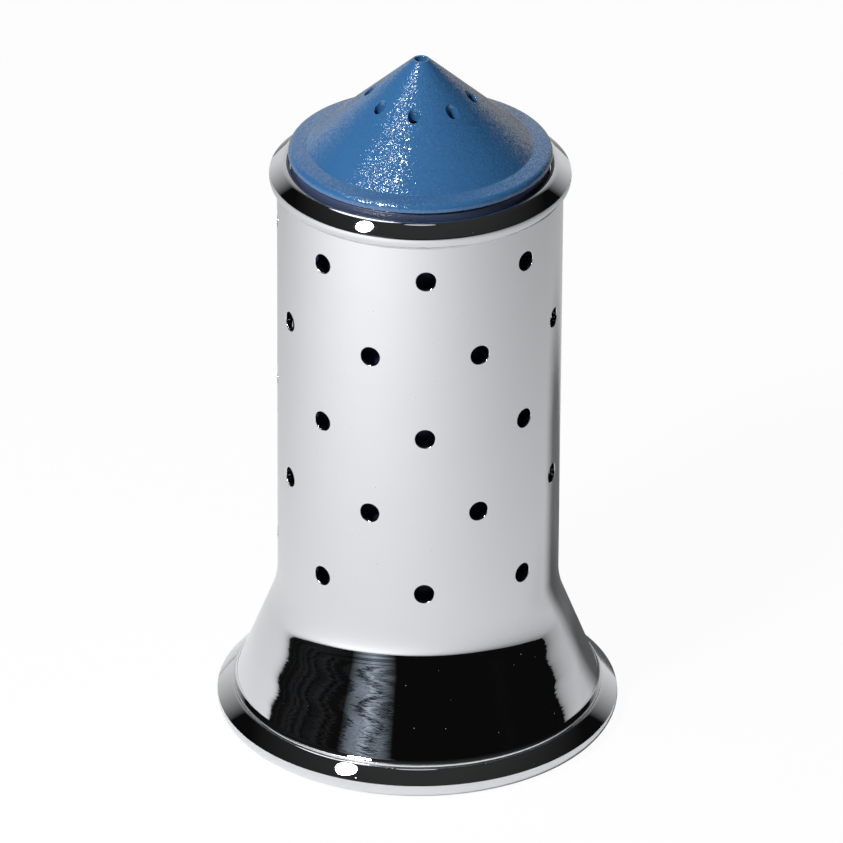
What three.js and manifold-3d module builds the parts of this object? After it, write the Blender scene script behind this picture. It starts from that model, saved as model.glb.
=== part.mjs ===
// Salt castor: a perforated steel sleeve with a flared skirt, two round-section rings, a moulded
// salt container and a push-in sieve cap.
// Millimetres and degrees. +Z is up, the front is -Y, and the origin is the centre of the foot.
import * as THREE from 'three';
import { mergeVertices } from 'three/addons/utils/BufferGeometryUtils.js';
import Module from 'manifold-3d';

const wasm = await Module();
wasm.setup();

// Fineness of round forms
const roundSteps = 48;
const smallSteps = 24;
const drillSteps = 12;
const beadStep = 17;
const roundingStep = 30;
const filletSteps = 4;
const overrun = 1;
const weld = 0.0001;

// Sleeve and skirt
const sleeveRadius = 21.5;
const sleeveWall = 0.8;
const skirtMeetHeight = 21;
const skirtAngle = 21.7;
const skirtFillet = 17;
const skirtEndHeight = 2.2;

// Perforations of the sleeve
const perforationRadius = 1.5;
const perforationRows = 5;
const perforationsPerRow = 8;
const lowestRowMargin = 9.53;
const highestRowMargin = 6.4;
const perforationTurn = 2.55;

// Ring over the top edge of the sleeve
const rimWireRadius = 2;
const rimHeight = 90.85;
const rimSocketDepth = 1.2;
const collarSeatDepth = 0.85;
const socketGap = 0.1;

// Ring under the skirt
const footWireRadius = 2;
const landWidth = 1.25;
const footRingOutset = 0.3;
const footRecessDepth = 0.37;
const socketLipHeight = 1.2;
const shoulderWidth = 0.85;

// Salt container
const collarInset = 0.85;
const collarGap = 0.15;
const collarThickness = 1.9;
const collarRounding = 0.3;
const containerGap = 0.4;
const containerWall = 1.4;
const containerFloor = 1.6;
const floorOverInsert = 1.2;
const floorFillet = 1.5;
const mouthChamfer = 0.5;

// Boss under the container, its insert and its screw
const bossWall = 3.05;
const insertWall = 0.75;
const insertLength = 5.6;
const insertWaist = 0.4;
const insertWaistLength = 1.4;
const insertGap = 0.1;
const insertHoleSpare = 0.3;
const screwRadius = 2;
const screwEngagement = 4.9;
const screwHeadRadius = 3.75;
const screwHeadHeight = 2.4;
const screwHeadChamfer = 0.6;
const screwSocketRadius = 1.45;
const screwSocketDepth = 1.3;
const socketSides = 6;
const screwGap = 0.1;
const washerMargin = 0.75;
const washerThickness = 0.8;

// Base plate
const plateGap = 0.25;
const plateThickness = 1.4;
const headSink = 0.6;
const headRoom = 0.9;
const hubWall = 1.6;
const hubSocketGap = 0.2;
const hubSocketWall = 1.6;
const hubSocketDepth = 2;
const clampGap = 0.3;
const ribCount = 6;
const ribThickness = 1.2;
const ribHeight = 2.4;
const ribEndGap = 2;

// Sieve cap
const capOverhang = 0.05;
const capSeatGap = 0.05;
const capRelief = 0.15;
const capReliefWidth = 0.9;
const flangeThickness = 1.3;
const flangeRounding = 0.8;
const flangeWidth = 2.9;
const flangeRise = 0.31;
const coneAngle = 42.2;
const coneWall = 1.6;
const tipHoleRadius = 0.9;
const tipLand = 0.34;
const saltHoleRadius = 0.92;
const saltHoleCount = 8;
const saltRingRadius = 7.6;
const saltRingTurn = -7.4;

// Plug of the cap and its seal
const plugGap = 0.15;
const wallBehindSeal = 1;
const plugLength = 7;
const plugChamfer = 0.4;
const sealInset = 3.3;
const sealGrooveDepth = 1.15;
const sealGap = 0.08;
const sealGrooveSpare = 0.15;
const sealSteps = 10;

// Radii and heights that follow
const radians = THREE.MathUtils.degToRad;
const skirtRun = Math.tan(radians(skirtAngle));
const skirtSheet = sleeveWall / Math.cos(radians(skirtAngle));
const skirtRadiusAt = (height) => sleeveRadius + skirtRun * (skirtMeetHeight - height);
const sleeveBore = sleeveRadius - sleeveWall;

const rimPitchRadius = sleeveBore;
const sleeveTop = rimHeight - rimWireRadius + rimSocketDepth;
const lowestRowHeight = skirtMeetHeight + lowestRowMargin;
const rowPitch = (sleeveTop - highestRowMargin - lowestRowHeight) / (perforationRows - 1);
const collarSeatRise = rimWireRadius - collarSeatDepth;
const collarSeat = rimHeight + collarSeatRise;
const collarRadius = rimPitchRadius - collarInset;
const collarTop = collarSeat + collarThickness;

const footPitchRadius = skirtRadiusAt(skirtEndHeight) - skirtSheet / 2 + footRingOutset;
const footHeight = Math.sqrt(footWireRadius ** 2 - (landWidth / 2) ** 2);
const plateRecess = footPitchRadius - footWireRadius + footRecessDepth;
const shoulderRadius = plateRecess - shoulderWidth;

const containerRadius = rimPitchRadius - rimWireRadius - containerGap;
const mouthRadius = containerRadius - containerWall;

const plateBottom = skirtEndHeight - plateThickness;
const washerBottom = plateBottom + headSink + screwHeadHeight;
const hubSeat = washerBottom + washerThickness;
const hubTop = hubSeat + hubWall;
const bossBottom = hubTop + clampGap;

const insertRadius = screwRadius + screwGap + insertWall;
const bossRadius = insertRadius + insertGap + bossWall;
const screwTip = bossBottom + screwEngagement;
const washerRadius = screwHeadRadius + washerMargin;
const insertHoleTop = bossBottom + insertLength + insertHoleSpare;
const floorTop = insertHoleTop + floorOverInsert;
const floorBottom = floorTop - containerFloor;

const capSeat = collarTop + capSeatGap;
const flangeBottom = capSeat + capRelief;
const capRadius = collarRadius + capOverhang;
const creaseRadius = capRadius - flangeWidth;
const creaseHeight = flangeBottom + flangeThickness + flangeRise;
const coneRun = Math.tan(radians(coneAngle));
const coneWallRise = coneWall / Math.cos(radians(coneAngle));
const coneHeightAt = (radius) => creaseHeight + (creaseRadius - radius) * coneRun;
const plugRadius = mouthRadius - plugGap;
const sealGrooveRadius = plugRadius - sealGrooveDepth;
const plugBore = sealGrooveRadius - wallBehindSeal;
const tipRadius = tipHoleRadius + tipLand;
const plugBottom = capSeat - plugLength;

const sealWireRadius = (mouthRadius - sealGrooveRadius) / 2 - sealGap;
const sealPitchRadius = (mouthRadius + sealGrooveRadius) / 2;
const sealHeight = plugBottom + sealInset;

// Materials
function finish(color, roughness, metalness) {
  return new THREE.MeshStandardMaterial({ color, roughness, metalness });
}

const polishedSteel = finish(0xd9dbdd, 0.05, 1);
const bluePlastic = finish(0x4a7eb0, 0.5, 0);
const blackPlastic = finish(0x15171d, 0.45, 0);
const blackRubber = finish(0x1c1c1c, 0.8, 0);
const zincSteel = finish(0xb4b7ba, 0.35, 1);
const brass = finish(0xc39a4b, 0.35, 1);

// Profile points are (radius, height) and run anticlockwise with the axis on the left.
const at = (radius, height) => new THREE.Vector2(radius, height);

// Points of an arc about a centre, both ends included, angles in degrees from the outward direction.
function arc(centre, radius, fromAngle, toAngle, stepAngle) {
  const steps = Math.max(1, Math.ceil(Math.abs(toAngle - fromAngle) / stepAngle));
  const points = [];
  for (let step = 0; step <= steps; step += 1) {
    const angle = radians(fromAngle + ((toAngle - fromAngle) * step) / steps);
    points.push(at(centre.x + radius * Math.cos(angle), centre.y + radius * Math.sin(angle)));
  }
  return points;
}

// Angle at which a circle of the given radius passes a height above its centre.
const angleAtHeight = (rise, radius) => THREE.MathUtils.radToDeg(Math.asin(rise / radius));

// Angle at which a circle of the given radius passes an offset outward of its centre.
const angleAtOffset = (offset, radius) => THREE.MathUtils.radToDeg(Math.acos(offset / radius));

// A closed geometry as a solid, with shared corners merged and collapsed triangles left out.
function solid(geometry) {
  geometry.deleteAttribute('normal');
  geometry.deleteAttribute('uv');
  const merged = mergeVertices(geometry, weld);
  const corners = merged.index.array;
  const kept = [];
  for (let first = 0; first < corners.length; first += 3) {
    const [a, b, c] = corners.slice(first, first + 3);
    if (a !== b && b !== c && c !== a) kept.push(a, b, c);
  }
  return new wasm.Manifold(
    new wasm.Mesh({
      numProp: 3,
      vertProperties: new Float32Array(merged.attributes.position.array),
      triVerts: new Uint32Array(kept),
    }),
  );
}

// A profile turned about the Z axis.
function turned(profile, steps = roundSteps) {
  const geometry = new THREE.LatheGeometry(profile, steps);
  geometry.rotateX(Math.PI / 2);
  return solid(geometry);
}

// A closed profile that doesn't meet the axis, turned about it.
const turnedRing = (profile, steps) => turned([...profile, profile[0].clone()], steps);

// A round drill along its own direction, centred on a point.
function drill(centre, direction, radius, length, steps = drillSteps) {
  const geometry = new THREE.CylinderGeometry(radius, radius, length, steps);
  const turn = new THREE.Quaternion().setFromUnitVectors(new THREE.Vector3(0, 1, 0), direction);
  geometry.applyQuaternion(turn);
  geometry.translate(centre.x, centre.y, centre.z);
  return solid(geometry);
}

const upward = new THREE.Vector3(0, 0, 1);

// Angles of a pattern round the axis, in degrees from the front towards +X.
const spread = (count, turn) => Array.from({ length: count }, (_, place) => turn + (360 * place) / count);

// A point round the axis at an angle from the front.
function around(angle, radius, height) {
  const turn = radians(angle - 90);
  return new THREE.Vector3(radius * Math.cos(turn), radius * Math.sin(turn), height);
}

// Drawn tube with a flared skirt, its fillet concentric on both faces, and five staggered rows of holes.
function sleeve() {
  const filletRise = skirtFillet * Math.tan(radians(skirtAngle / 2));
  const filletCentre = at(sleeveRadius + skirtFillet, skirtMeetHeight + filletRise);
  const filletStep = skirtAngle / filletSteps;
  const outerFillet = arc(filletCentre, skirtFillet, 180 + skirtAngle, 180, filletStep);
  const innerFillet = arc(filletCentre, skirtFillet + sleeveWall, 180, 180 + skirtAngle, filletStep);
  const endRadius = skirtRadiusAt(skirtEndHeight);
  const blank = turnedRing([
    at(endRadius - skirtSheet, skirtEndHeight),
    at(endRadius, skirtEndHeight),
    ...outerFillet,
    at(sleeveRadius, sleeveTop),
    at(sleeveBore, sleeveTop),
    ...innerFillet,
  ]);
  const stagger = 180 / perforationsPerRow;
  let result = blank;
  for (let row = 0; row < perforationRows; row += 1) {
    const height = lowestRowHeight + row * rowPitch;
    const turn = perforationTurn + (row % 2) * stagger;
    for (const angle of spread(perforationsPerRow, turn)) {
      const centre = around(angle, sleeveRadius - sleeveWall / 2, height);
      const hole = drill(centre, around(angle, 1, 0), perforationRadius, sleeveWall + 2 * overrun);
      result = result.subtract(hole);
    }
  }
  return result;
}

// Round-section ring with a socket for the sleeve's edge below and a seat for the collar above.
function rimRing() {
  const centre = at(rimPitchRadius, rimHeight);
  const seatRadius = collarRadius + collarGap;
  const socketOuter = sleeveRadius + socketGap;
  const socketInner = sleeveBore - socketGap;
  const seatOuterAngle = angleAtOffset(seatRadius - rimPitchRadius, rimWireRadius);
  const socketOuterAngle = -angleAtOffset(socketOuter - rimPitchRadius, rimWireRadius);
  const socketInnerAngle = -angleAtOffset(socketInner - rimPitchRadius, rimWireRadius);
  const seatInnerAngle = -180 - angleAtHeight(collarSeatRise, rimWireRadius);
  return turnedRing([
    at(socketOuter, sleeveTop),
    at(socketInner, sleeveTop),
    ...arc(centre, rimWireRadius, socketInnerAngle, seatInnerAngle, beadStep),
    at(seatRadius, collarSeat),
    ...arc(centre, rimWireRadius, seatOuterAngle, socketOuterAngle, beadStep),
  ].reverse());
}

// Round-section ring with a flat land, a socket for the skirt's edge and a shoulder over the base plate.
function footRing() {
  const centre = at(footPitchRadius, footHeight);
  const outerWallAt = (height) => skirtRadiusAt(height) + socketGap;
  const innerWallAt = (height) => skirtRadiusAt(height) - skirtSheet - socketGap;
  const lipTop = skirtEndHeight + socketLipHeight;
  const lineOffset = outerWallAt(footHeight) - footPitchRadius;
  const lineLean = radians(skirtAngle);
  const topAngle = skirtAngle + angleAtOffset(lineOffset * Math.cos(lineLean), footWireRadius);
  const landAngle = angleAtOffset(landWidth / 2, footWireRadius);
  const recessAngle = angleAtOffset(plateRecess - footPitchRadius, footWireRadius);
  return turnedRing([
    ...arc(centre, footWireRadius, -recessAngle, -180 + landAngle, beadStep),
    ...arc(centre, footWireRadius, -landAngle, topAngle, beadStep),
    at(outerWallAt(skirtEndHeight), skirtEndHeight),
    at(innerWallAt(skirtEndHeight), skirtEndHeight),
    at(innerWallAt(lipTop), lipTop),
    at(shoulderRadius, lipTop),
    at(shoulderRadius, skirtEndHeight),
    at(plateRecess, skirtEndHeight),
  ]);
}

// Cup with a collar that hangs on the rim ring and a boss below for the insert.
function saltContainer() {
  const insertHole = insertRadius + insertGap;
  const filletCentre = at(mouthRadius - floorFillet, floorTop + floorFillet);
  return turned([
    at(0, insertHoleTop),
    at(insertHole, insertHoleTop),
    at(insertHole, bossBottom),
    at(bossRadius, bossBottom),
    at(bossRadius, floorBottom),
    at(containerRadius, floorBottom),
    at(containerRadius, collarSeat),
    at(collarRadius, collarSeat),
    at(collarRadius, collarTop - collarRounding),
    at(collarRadius - collarRounding, collarTop),
    at(mouthRadius + mouthChamfer, collarTop),
    at(mouthRadius, collarTop - mouthChamfer),
    ...arc(filletCentre, floorFillet, 0, -90, roundingStep),
    at(0, floorTop),
  ]);
}

// Knurled insert's body: a sleeve with a waist between its two bands.
function threadedInsert() {
  const waist = insertRadius - insertWaist;
  const middle = bossBottom + insertLength / 2;
  return turnedRing([
    at(screwRadius + screwGap, bossBottom),
    at(insertRadius, bossBottom),
    at(insertRadius, middle - insertWaistLength / 2),
    at(waist, middle - insertWaistLength / 2),
    at(waist, middle + insertWaistLength / 2),
    at(insertRadius, middle + insertWaistLength / 2),
    at(insertRadius, bossBottom + insertLength),
    at(screwRadius + screwGap, bossBottom + insertLength),
  ], smallSteps);
}

// Disc in the foot ring's recess, with a hub that centres the boss, a well for the screw and ribs above.
function basePlate() {
  const plateRadius = plateRecess - plateGap;
  const wellRadius = washerRadius + headRoom;
  const hubBore = bossRadius + hubSocketGap;
  const hubRadius = hubBore + hubSocketWall;
  const disc = turnedRing([
    at(screwRadius + hubSocketGap, hubSeat),
    at(wellRadius, hubSeat),
    at(wellRadius, plateBottom),
    at(plateRadius, plateBottom),
    at(plateRadius, skirtEndHeight),
    at(hubRadius, skirtEndHeight),
    at(hubRadius, hubTop + hubSocketDepth),
    at(hubBore, hubTop + hubSocketDepth),
    at(hubBore, hubTop),
    at(screwRadius + hubSocketGap, hubTop),
  ]);
  const ribStart = hubRadius - hubSocketWall / 2;
  const ribEnd = shoulderRadius - ribEndGap;
  let result = disc;
  for (const angle of spread(ribCount, 0)) {
    const bottom = skirtEndHeight - plateThickness / 2;
    const top = skirtEndHeight + ribHeight;
    const rib = new THREE.BoxGeometry(ribEnd - ribStart, ribThickness, top - bottom);
    rib.translate((ribStart + ribEnd) / 2, 0, (bottom + top) / 2);
    rib.rotateZ(radians(angle));
    result = result.add(solid(rib));
  }
  return result;
}

// Flat washer between the screw's head and the hub.
function screwWasher() {
  return turnedRing([
    at(screwRadius + screwGap, washerBottom),
    at(washerRadius, washerBottom),
    at(washerRadius, hubSeat),
    at(screwRadius + screwGap, hubSeat),
  ], smallSteps);
}

// Pan-head screw with a hexagon socket.
function baseScrew() {
  const headBottom = washerBottom - screwHeadHeight;
  const body = turned([
    at(0, headBottom),
    at(screwHeadRadius - screwHeadChamfer, headBottom),
    at(screwHeadRadius, headBottom + screwHeadChamfer),
    at(screwHeadRadius, washerBottom),
    at(screwRadius, washerBottom),
    at(screwRadius, screwTip),
    at(0, screwTip),
  ], smallSteps);
  const socketCentre = new THREE.Vector3(0, 0, headBottom + (screwSocketDepth - overrun) / 2);
  const socketLength = screwSocketDepth + overrun;
  return body.subtract(drill(socketCentre, upward, screwSocketRadius, socketLength, socketSides));
}

// Hollow cone with a flange, a plug below it with a groove for the seal, and upright salt holes.
function cap() {
  const reliefRadius = capRadius - capReliefWidth;
  const roundingCentre = at(capRadius - flangeRounding, flangeBottom + flangeThickness - flangeRounding);
  const grooveHalf = sealWireRadius + sealGrooveSpare;
  const blank = turnedRing([
    at(plugBore, plugBottom),
    at(plugRadius - plugChamfer, plugBottom),
    at(plugRadius, plugBottom + plugChamfer),
    at(plugRadius, sealHeight - grooveHalf),
    at(sealGrooveRadius, sealHeight - grooveHalf),
    at(sealGrooveRadius, sealHeight + grooveHalf),
    at(plugRadius, sealHeight + grooveHalf),
    at(plugRadius, capSeat),
    at(reliefRadius, capSeat),
    at(reliefRadius, flangeBottom),
    at(capRadius, flangeBottom),
    ...arc(roundingCentre, flangeRounding, 0, 90, roundingStep),
    at(creaseRadius, creaseHeight),
    at(tipRadius, coneHeightAt(tipRadius)),
    at(tipHoleRadius, coneHeightAt(tipRadius)),
    at(tipHoleRadius, coneHeightAt(tipHoleRadius) - coneWallRise),
    at(plugBore, coneHeightAt(plugBore) - coneWallRise),
  ]);
  const drillLength = coneWallRise + 2 * (saltHoleRadius * coneRun + overrun);
  let result = blank;
  for (const angle of spread(saltHoleCount, saltRingTurn)) {
    const centre = around(angle, saltRingRadius, coneHeightAt(saltRingRadius) - coneWallRise / 2);
    result = result.subtract(drill(centre, upward, saltHoleRadius, drillLength));
  }
  return result;
}

// Round-section seal in the plug's groove, drawn as it lies between the groove and the container.
function capSeal() {
  const centre = at(sealPitchRadius, sealHeight);
  const round = arc(centre, sealWireRadius, 0, 360 - 360 / sealSteps, 360 / sealSteps);
  return turnedRing(round);
}

// A solid as a named mesh.
function piece(name, body, material) {
  const { numProp, vertProperties, triVerts } = body.getMesh();
  const geometry = new THREE.BufferGeometry();
  geometry.setAttribute('position', new THREE.BufferAttribute(new Float32Array(vertProperties), numProp));
  geometry.setIndex(new THREE.BufferAttribute(new Uint32Array(triVerts), 1));
  geometry.computeVertexNormals();
  const mesh = new THREE.Mesh(geometry, material);
  mesh.name = name;
  return mesh;
}

const body = new THREE.Group();
body.add(
  piece('sleeve', sleeve(), polishedSteel),
  piece('rim_ring', rimRing(), polishedSteel),
  piece('foot_ring', footRing(), polishedSteel),
  piece('salt_container', saltContainer(), blackPlastic),
  piece('base_plate', basePlate(), blackPlastic),
  piece('base_screw', baseScrew(), zincSteel),
  piece('screw_washer', screwWasher(), zincSteel),
  piece('threaded_insert', threadedInsert(), brass),
);

const closure = new THREE.Group();
closure.add(
  piece('cap', cap(), bluePlastic),
  piece('cap_seal', capSeal(), blackRubber),
);

const castor = new THREE.Group();
castor.add(body, closure);

export default castor;
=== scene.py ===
"""Salt castor: a mirror-polished perforated sleeve with a flared skirt and a push-in sieve cap.

Every piece gets a fine surface in place of its plain solid, and a finish of its own. The castor
stands on a white table under a main lamp and a soft box, seen from slightly above. Sizes of the
pieces are in millimetres, and their meshes and the studio are in metres.
"""

import logging
import math
from abc import ABC, abstractmethod
from collections.abc import Callable, Sequence
from dataclasses import dataclass
from enum import Enum
from functools import cached_property, partial

import bpy
import numpy as np
from mathutils import Matrix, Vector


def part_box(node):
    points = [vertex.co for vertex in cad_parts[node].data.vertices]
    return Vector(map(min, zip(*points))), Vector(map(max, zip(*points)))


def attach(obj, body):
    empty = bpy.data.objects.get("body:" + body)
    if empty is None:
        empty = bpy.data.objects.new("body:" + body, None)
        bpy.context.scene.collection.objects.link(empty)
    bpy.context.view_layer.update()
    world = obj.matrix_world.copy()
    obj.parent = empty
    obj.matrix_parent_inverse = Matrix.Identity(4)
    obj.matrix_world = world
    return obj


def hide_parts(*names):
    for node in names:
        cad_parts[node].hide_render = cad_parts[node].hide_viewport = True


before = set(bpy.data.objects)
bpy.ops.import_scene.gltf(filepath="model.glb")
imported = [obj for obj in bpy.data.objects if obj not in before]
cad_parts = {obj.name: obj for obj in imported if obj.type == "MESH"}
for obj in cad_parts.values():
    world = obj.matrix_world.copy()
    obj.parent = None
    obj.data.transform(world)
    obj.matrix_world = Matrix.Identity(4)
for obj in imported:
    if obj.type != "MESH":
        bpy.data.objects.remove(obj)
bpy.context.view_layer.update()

LOG = logging.getLogger("salt_castor")
MILLIMETRE = 0.001
FULL_TURN = 2.0 * math.pi
UP = (0.0, 0.0, 1.0)
WHITE = (1.0, 1.0, 1.0)

Triple = tuple[float, float, float]
Point = tuple[float, float]
Corner = tuple[float, ...]
Values = float | np.ndarray
Grid = tuple[np.ndarray, np.ndarray]
Face = Callable[[np.ndarray], Grid]
Socket = bpy.types.NodeSocket


class Body(Enum):
    """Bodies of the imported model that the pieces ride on."""

    CASTOR = "castor_body"
    SEAL = "seal"
    CAP = "cap"


class Slot(Enum):
    """Material slots of the record."""

    POLISHED_STEEL = "polished_steel"
    BLUE_PLASTIC = "blue_plastic"
    BLACK_PLASTIC = "black_plastic"
    PLATED_STEEL = "plated_steel"
    INSERT_BRASS = "insert_brass"
    SEAL_RUBBER = "seal_rubber"


def unit(vectors: np.ndarray) -> np.ndarray:
    """Return each vector scaled to length one."""
    return vectors / np.linalg.norm(vectors, axis=-1, keepdims=True)


def front_angle(turn: float) -> float:
    """Return the angle in radians about Z of a direction turned from the front towards +X."""
    return math.radians(turn - 90.0)


def toward(turn: float, elevation: float = 0.0) -> Triple:
    """Return the unit vector turned from the front towards +X and raised, both in degrees."""
    angle, lift = front_angle(turn), math.radians(elevation)
    return (math.cos(lift) * math.cos(angle), math.cos(lift) * math.sin(angle), math.sin(lift))


def beside(turn: float) -> Triple:
    """Return the level unit vector a quarter turn on from a direction in degrees from the front."""
    return (-math.sin(front_angle(turn)), math.cos(front_angle(turn)), 0.0)


def directions(angles: Values) -> np.ndarray:
    """Return the unit vectors (cos a, sin a) of angles in radians."""
    return np.stack([np.cos(angles), np.sin(angles)], axis=-1)


def around(radius: Values, angles: Values, height: Values) -> np.ndarray:
    """Return the points (r cos a, r sin a, z) of grids of radius, angle and height."""
    points = np.broadcast_arrays(radius * np.cos(angles), radius * np.sin(angles), height)
    return np.stack(points, axis=-1)


def closed(ring: np.ndarray) -> np.ndarray:
    """Return a grid with its first column repeated as its last."""
    return np.concatenate([ring, ring[:, :1]], axis=1)


def grid_normals(points: np.ndarray, side: float) -> np.ndarray:
    """Return the unit normals of a grid whose last column repeats its first.

    The normal is the cross product of the differences along the columns and along the rows.

    Args:
        points: Points of the grid.
        side: One or minus one, to point the normals out of the solid.

    Returns:
        The normals, in the same shape.
    """
    ring = points[:, :-1]
    onward = np.roll(ring, -1, axis=1) - np.roll(ring, 1, axis=1)
    return closed(side * unit(np.cross(onward, np.gradient(ring, axis=0))))


def linked(name: str, data: bpy.types.ID) -> bpy.types.Object:
    """Add an object to the scene.

    Args:
        name: Its name.
        data: Its mesh, lamp or camera.

    Returns:
        The object.
    """
    made = bpy.data.objects.new(name, data)
    bpy.context.scene.collection.objects.link(made)
    return made


def placing(axes: Sequence[np.ndarray], place: np.ndarray) -> Matrix:
    """Return the matrix that turns an object to three axes and moves it to a place.

    Args:
        axes: Where the object's own axes point.
        place: Where its origin goes.

    Returns:
        The matrix.
    """
    matrix = np.eye(4)
    matrix[:3, :3] = np.transpose(axes)
    matrix[:3, 3] = place
    return Matrix(matrix.tolist())


# Profiles


@dataclass(frozen=True)
class Stretch:
    """One smooth run of a profile, with the solid on its left.

    Attributes:
        points: Radius and height along the run, one row each.
        normals: Outward unit normal at each point, one row each.
    """

    points: np.ndarray
    normals: np.ndarray

    def turned(self, angles: np.ndarray) -> Grid:
        """Return the run turned about Z: (r, z) goes to (r cos a, r sin a, z) for each angle a."""
        parts = (self.points, self.normals)
        return tuple(around(part[:, :1], angles, part[:, 1:]) for part in parts)


class Profile:
    """A cross-section in the plane of radius and height, drawn with the solid on its left.

    Attributes:
        STEP_ANGLE: Greatest turn from one point of an arc to the next.
        STEP_LENGTH: Greatest distance between them.
    """

    STEP_ANGLE = math.radians(6.0)
    STEP_LENGTH = 0.5

    def __init__(self) -> None:
        """Start with no runs."""
        self.stretches: list[Stretch] = []

    def path(self, *corners: Point) -> None:
        """Add straight runs, each with its direction turned a quarter clockwise as its normal.

        Args:
            corners: Radius and height of the points that the runs join.
        """
        for start, end in zip(corners[:-1], corners[1:]):
            points = np.array([start, end], float)
            along = points[1] - points[0]
            if np.linalg.norm(along) > 0.0:
                normal = unit(np.array([along[1], -along[0]]))
                self.stretches.append(Stretch(points, np.tile(normal, (2, 1))))

    def arc(self, centre: Point, radius: float, start: float, end: float) -> None:
        """Add a round run: the centre plus the radius times the cosine and sine of an even sweep.

        The normal points away from the centre on an anticlockwise sweep, and towards it otherwise.

        Args:
            centre: Radius and height of the arc's centre.
            radius: Radius of the arc.
            start: Angle where it starts, in radians from the outward direction.
            end: Angle where it ends.
        """
        sweep = abs(end - start)
        steps = max(sweep / self.STEP_ANGLE, sweep * radius / self.STEP_LENGTH, 2.0)
        spokes = directions(np.linspace(start, end, math.ceil(steps) + 1))
        side = 1.0 if end > start else -1.0
        self.stretches.append(Stretch(np.array(centre) + radius * spokes, side * spokes))

    def arcs(self, centre: Point, start: float, runs: Sequence[Point]) -> Point:
        """Add round runs that join smoothly, each starting in the direction in which the last ends.

        The next centre lies on the line through the last centre and the joint, at the next radius
        from the joint.

        Args:
            centre: Radius and height of the first arc's centre.
            start: Angle where the first arc starts, in degrees.
            runs: Radius and end angle in degrees of each arc.

        Returns:
            Radius and height where the last arc ends.
        """
        middle, radius, angle = np.array(centre, float), runs[0][0], math.radians(start)
        for following, turn in runs:
            middle = middle + (radius - following) * directions(angle)
            radius, end = following, math.radians(turn)
            self.arc(tuple(middle), radius, angle, end)
            angle = end
        return tuple((middle + radius * directions(angle)).tolist())

    @classmethod
    def rounded(cls, *corners: Corner, whole: bool = False) -> "Profile":
        """Join corners by straight runs, with each rounding as an arc tangent to both its runs.

        An arc's centre lies on the line that halves its corner, at the rounding divided by the
        sine of half the corner's angle.

        Args:
            corners: Radius and height of each corner, with the solid on the left, and the radius
                of the arc that replaces it where it isn't sharp.
            whole: Whether the last corner joins the first.

        Returns:
            The profile.
        """
        profile = cls()
        places = np.array([corner[:2] for corner in corners], float)
        starts, ends, arcs = places.copy(), places.copy(), {}
        for index, (_, _, *roundings) in enumerate(corners):
            if not roundings:
                continue
            rounding = roundings[0]
            here = places[index]
            back = unit(places[index - 1] - here)
            ahead = unit(places[(index + 1) % len(corners)] - here)
            half = math.acos(float(np.clip(back @ ahead, -1.0, 1.0))) / 2.0
            centre = here + unit(back + ahead) * rounding / math.sin(half)
            starts[index] = here + back * rounding / math.tan(half)
            ends[index] = here + ahead * rounding / math.tan(half)
            first = math.atan2(*(starts[index] - centre)[::-1])
            sweep = math.atan2(*(ends[index] - centre)[::-1]) - first
            sweep = (sweep + math.pi) % FULL_TURN - math.pi
            arcs[index] = (tuple(centre), rounding, first, first + sweep)
        for index in range(len(corners)):
            if index in arcs:
                profile.arc(*arcs[index])
            if whole or index + 1 < len(corners):
                profile.path(ends[index], starts[(index + 1) % len(corners)])
        return profile


# Meshes


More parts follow.
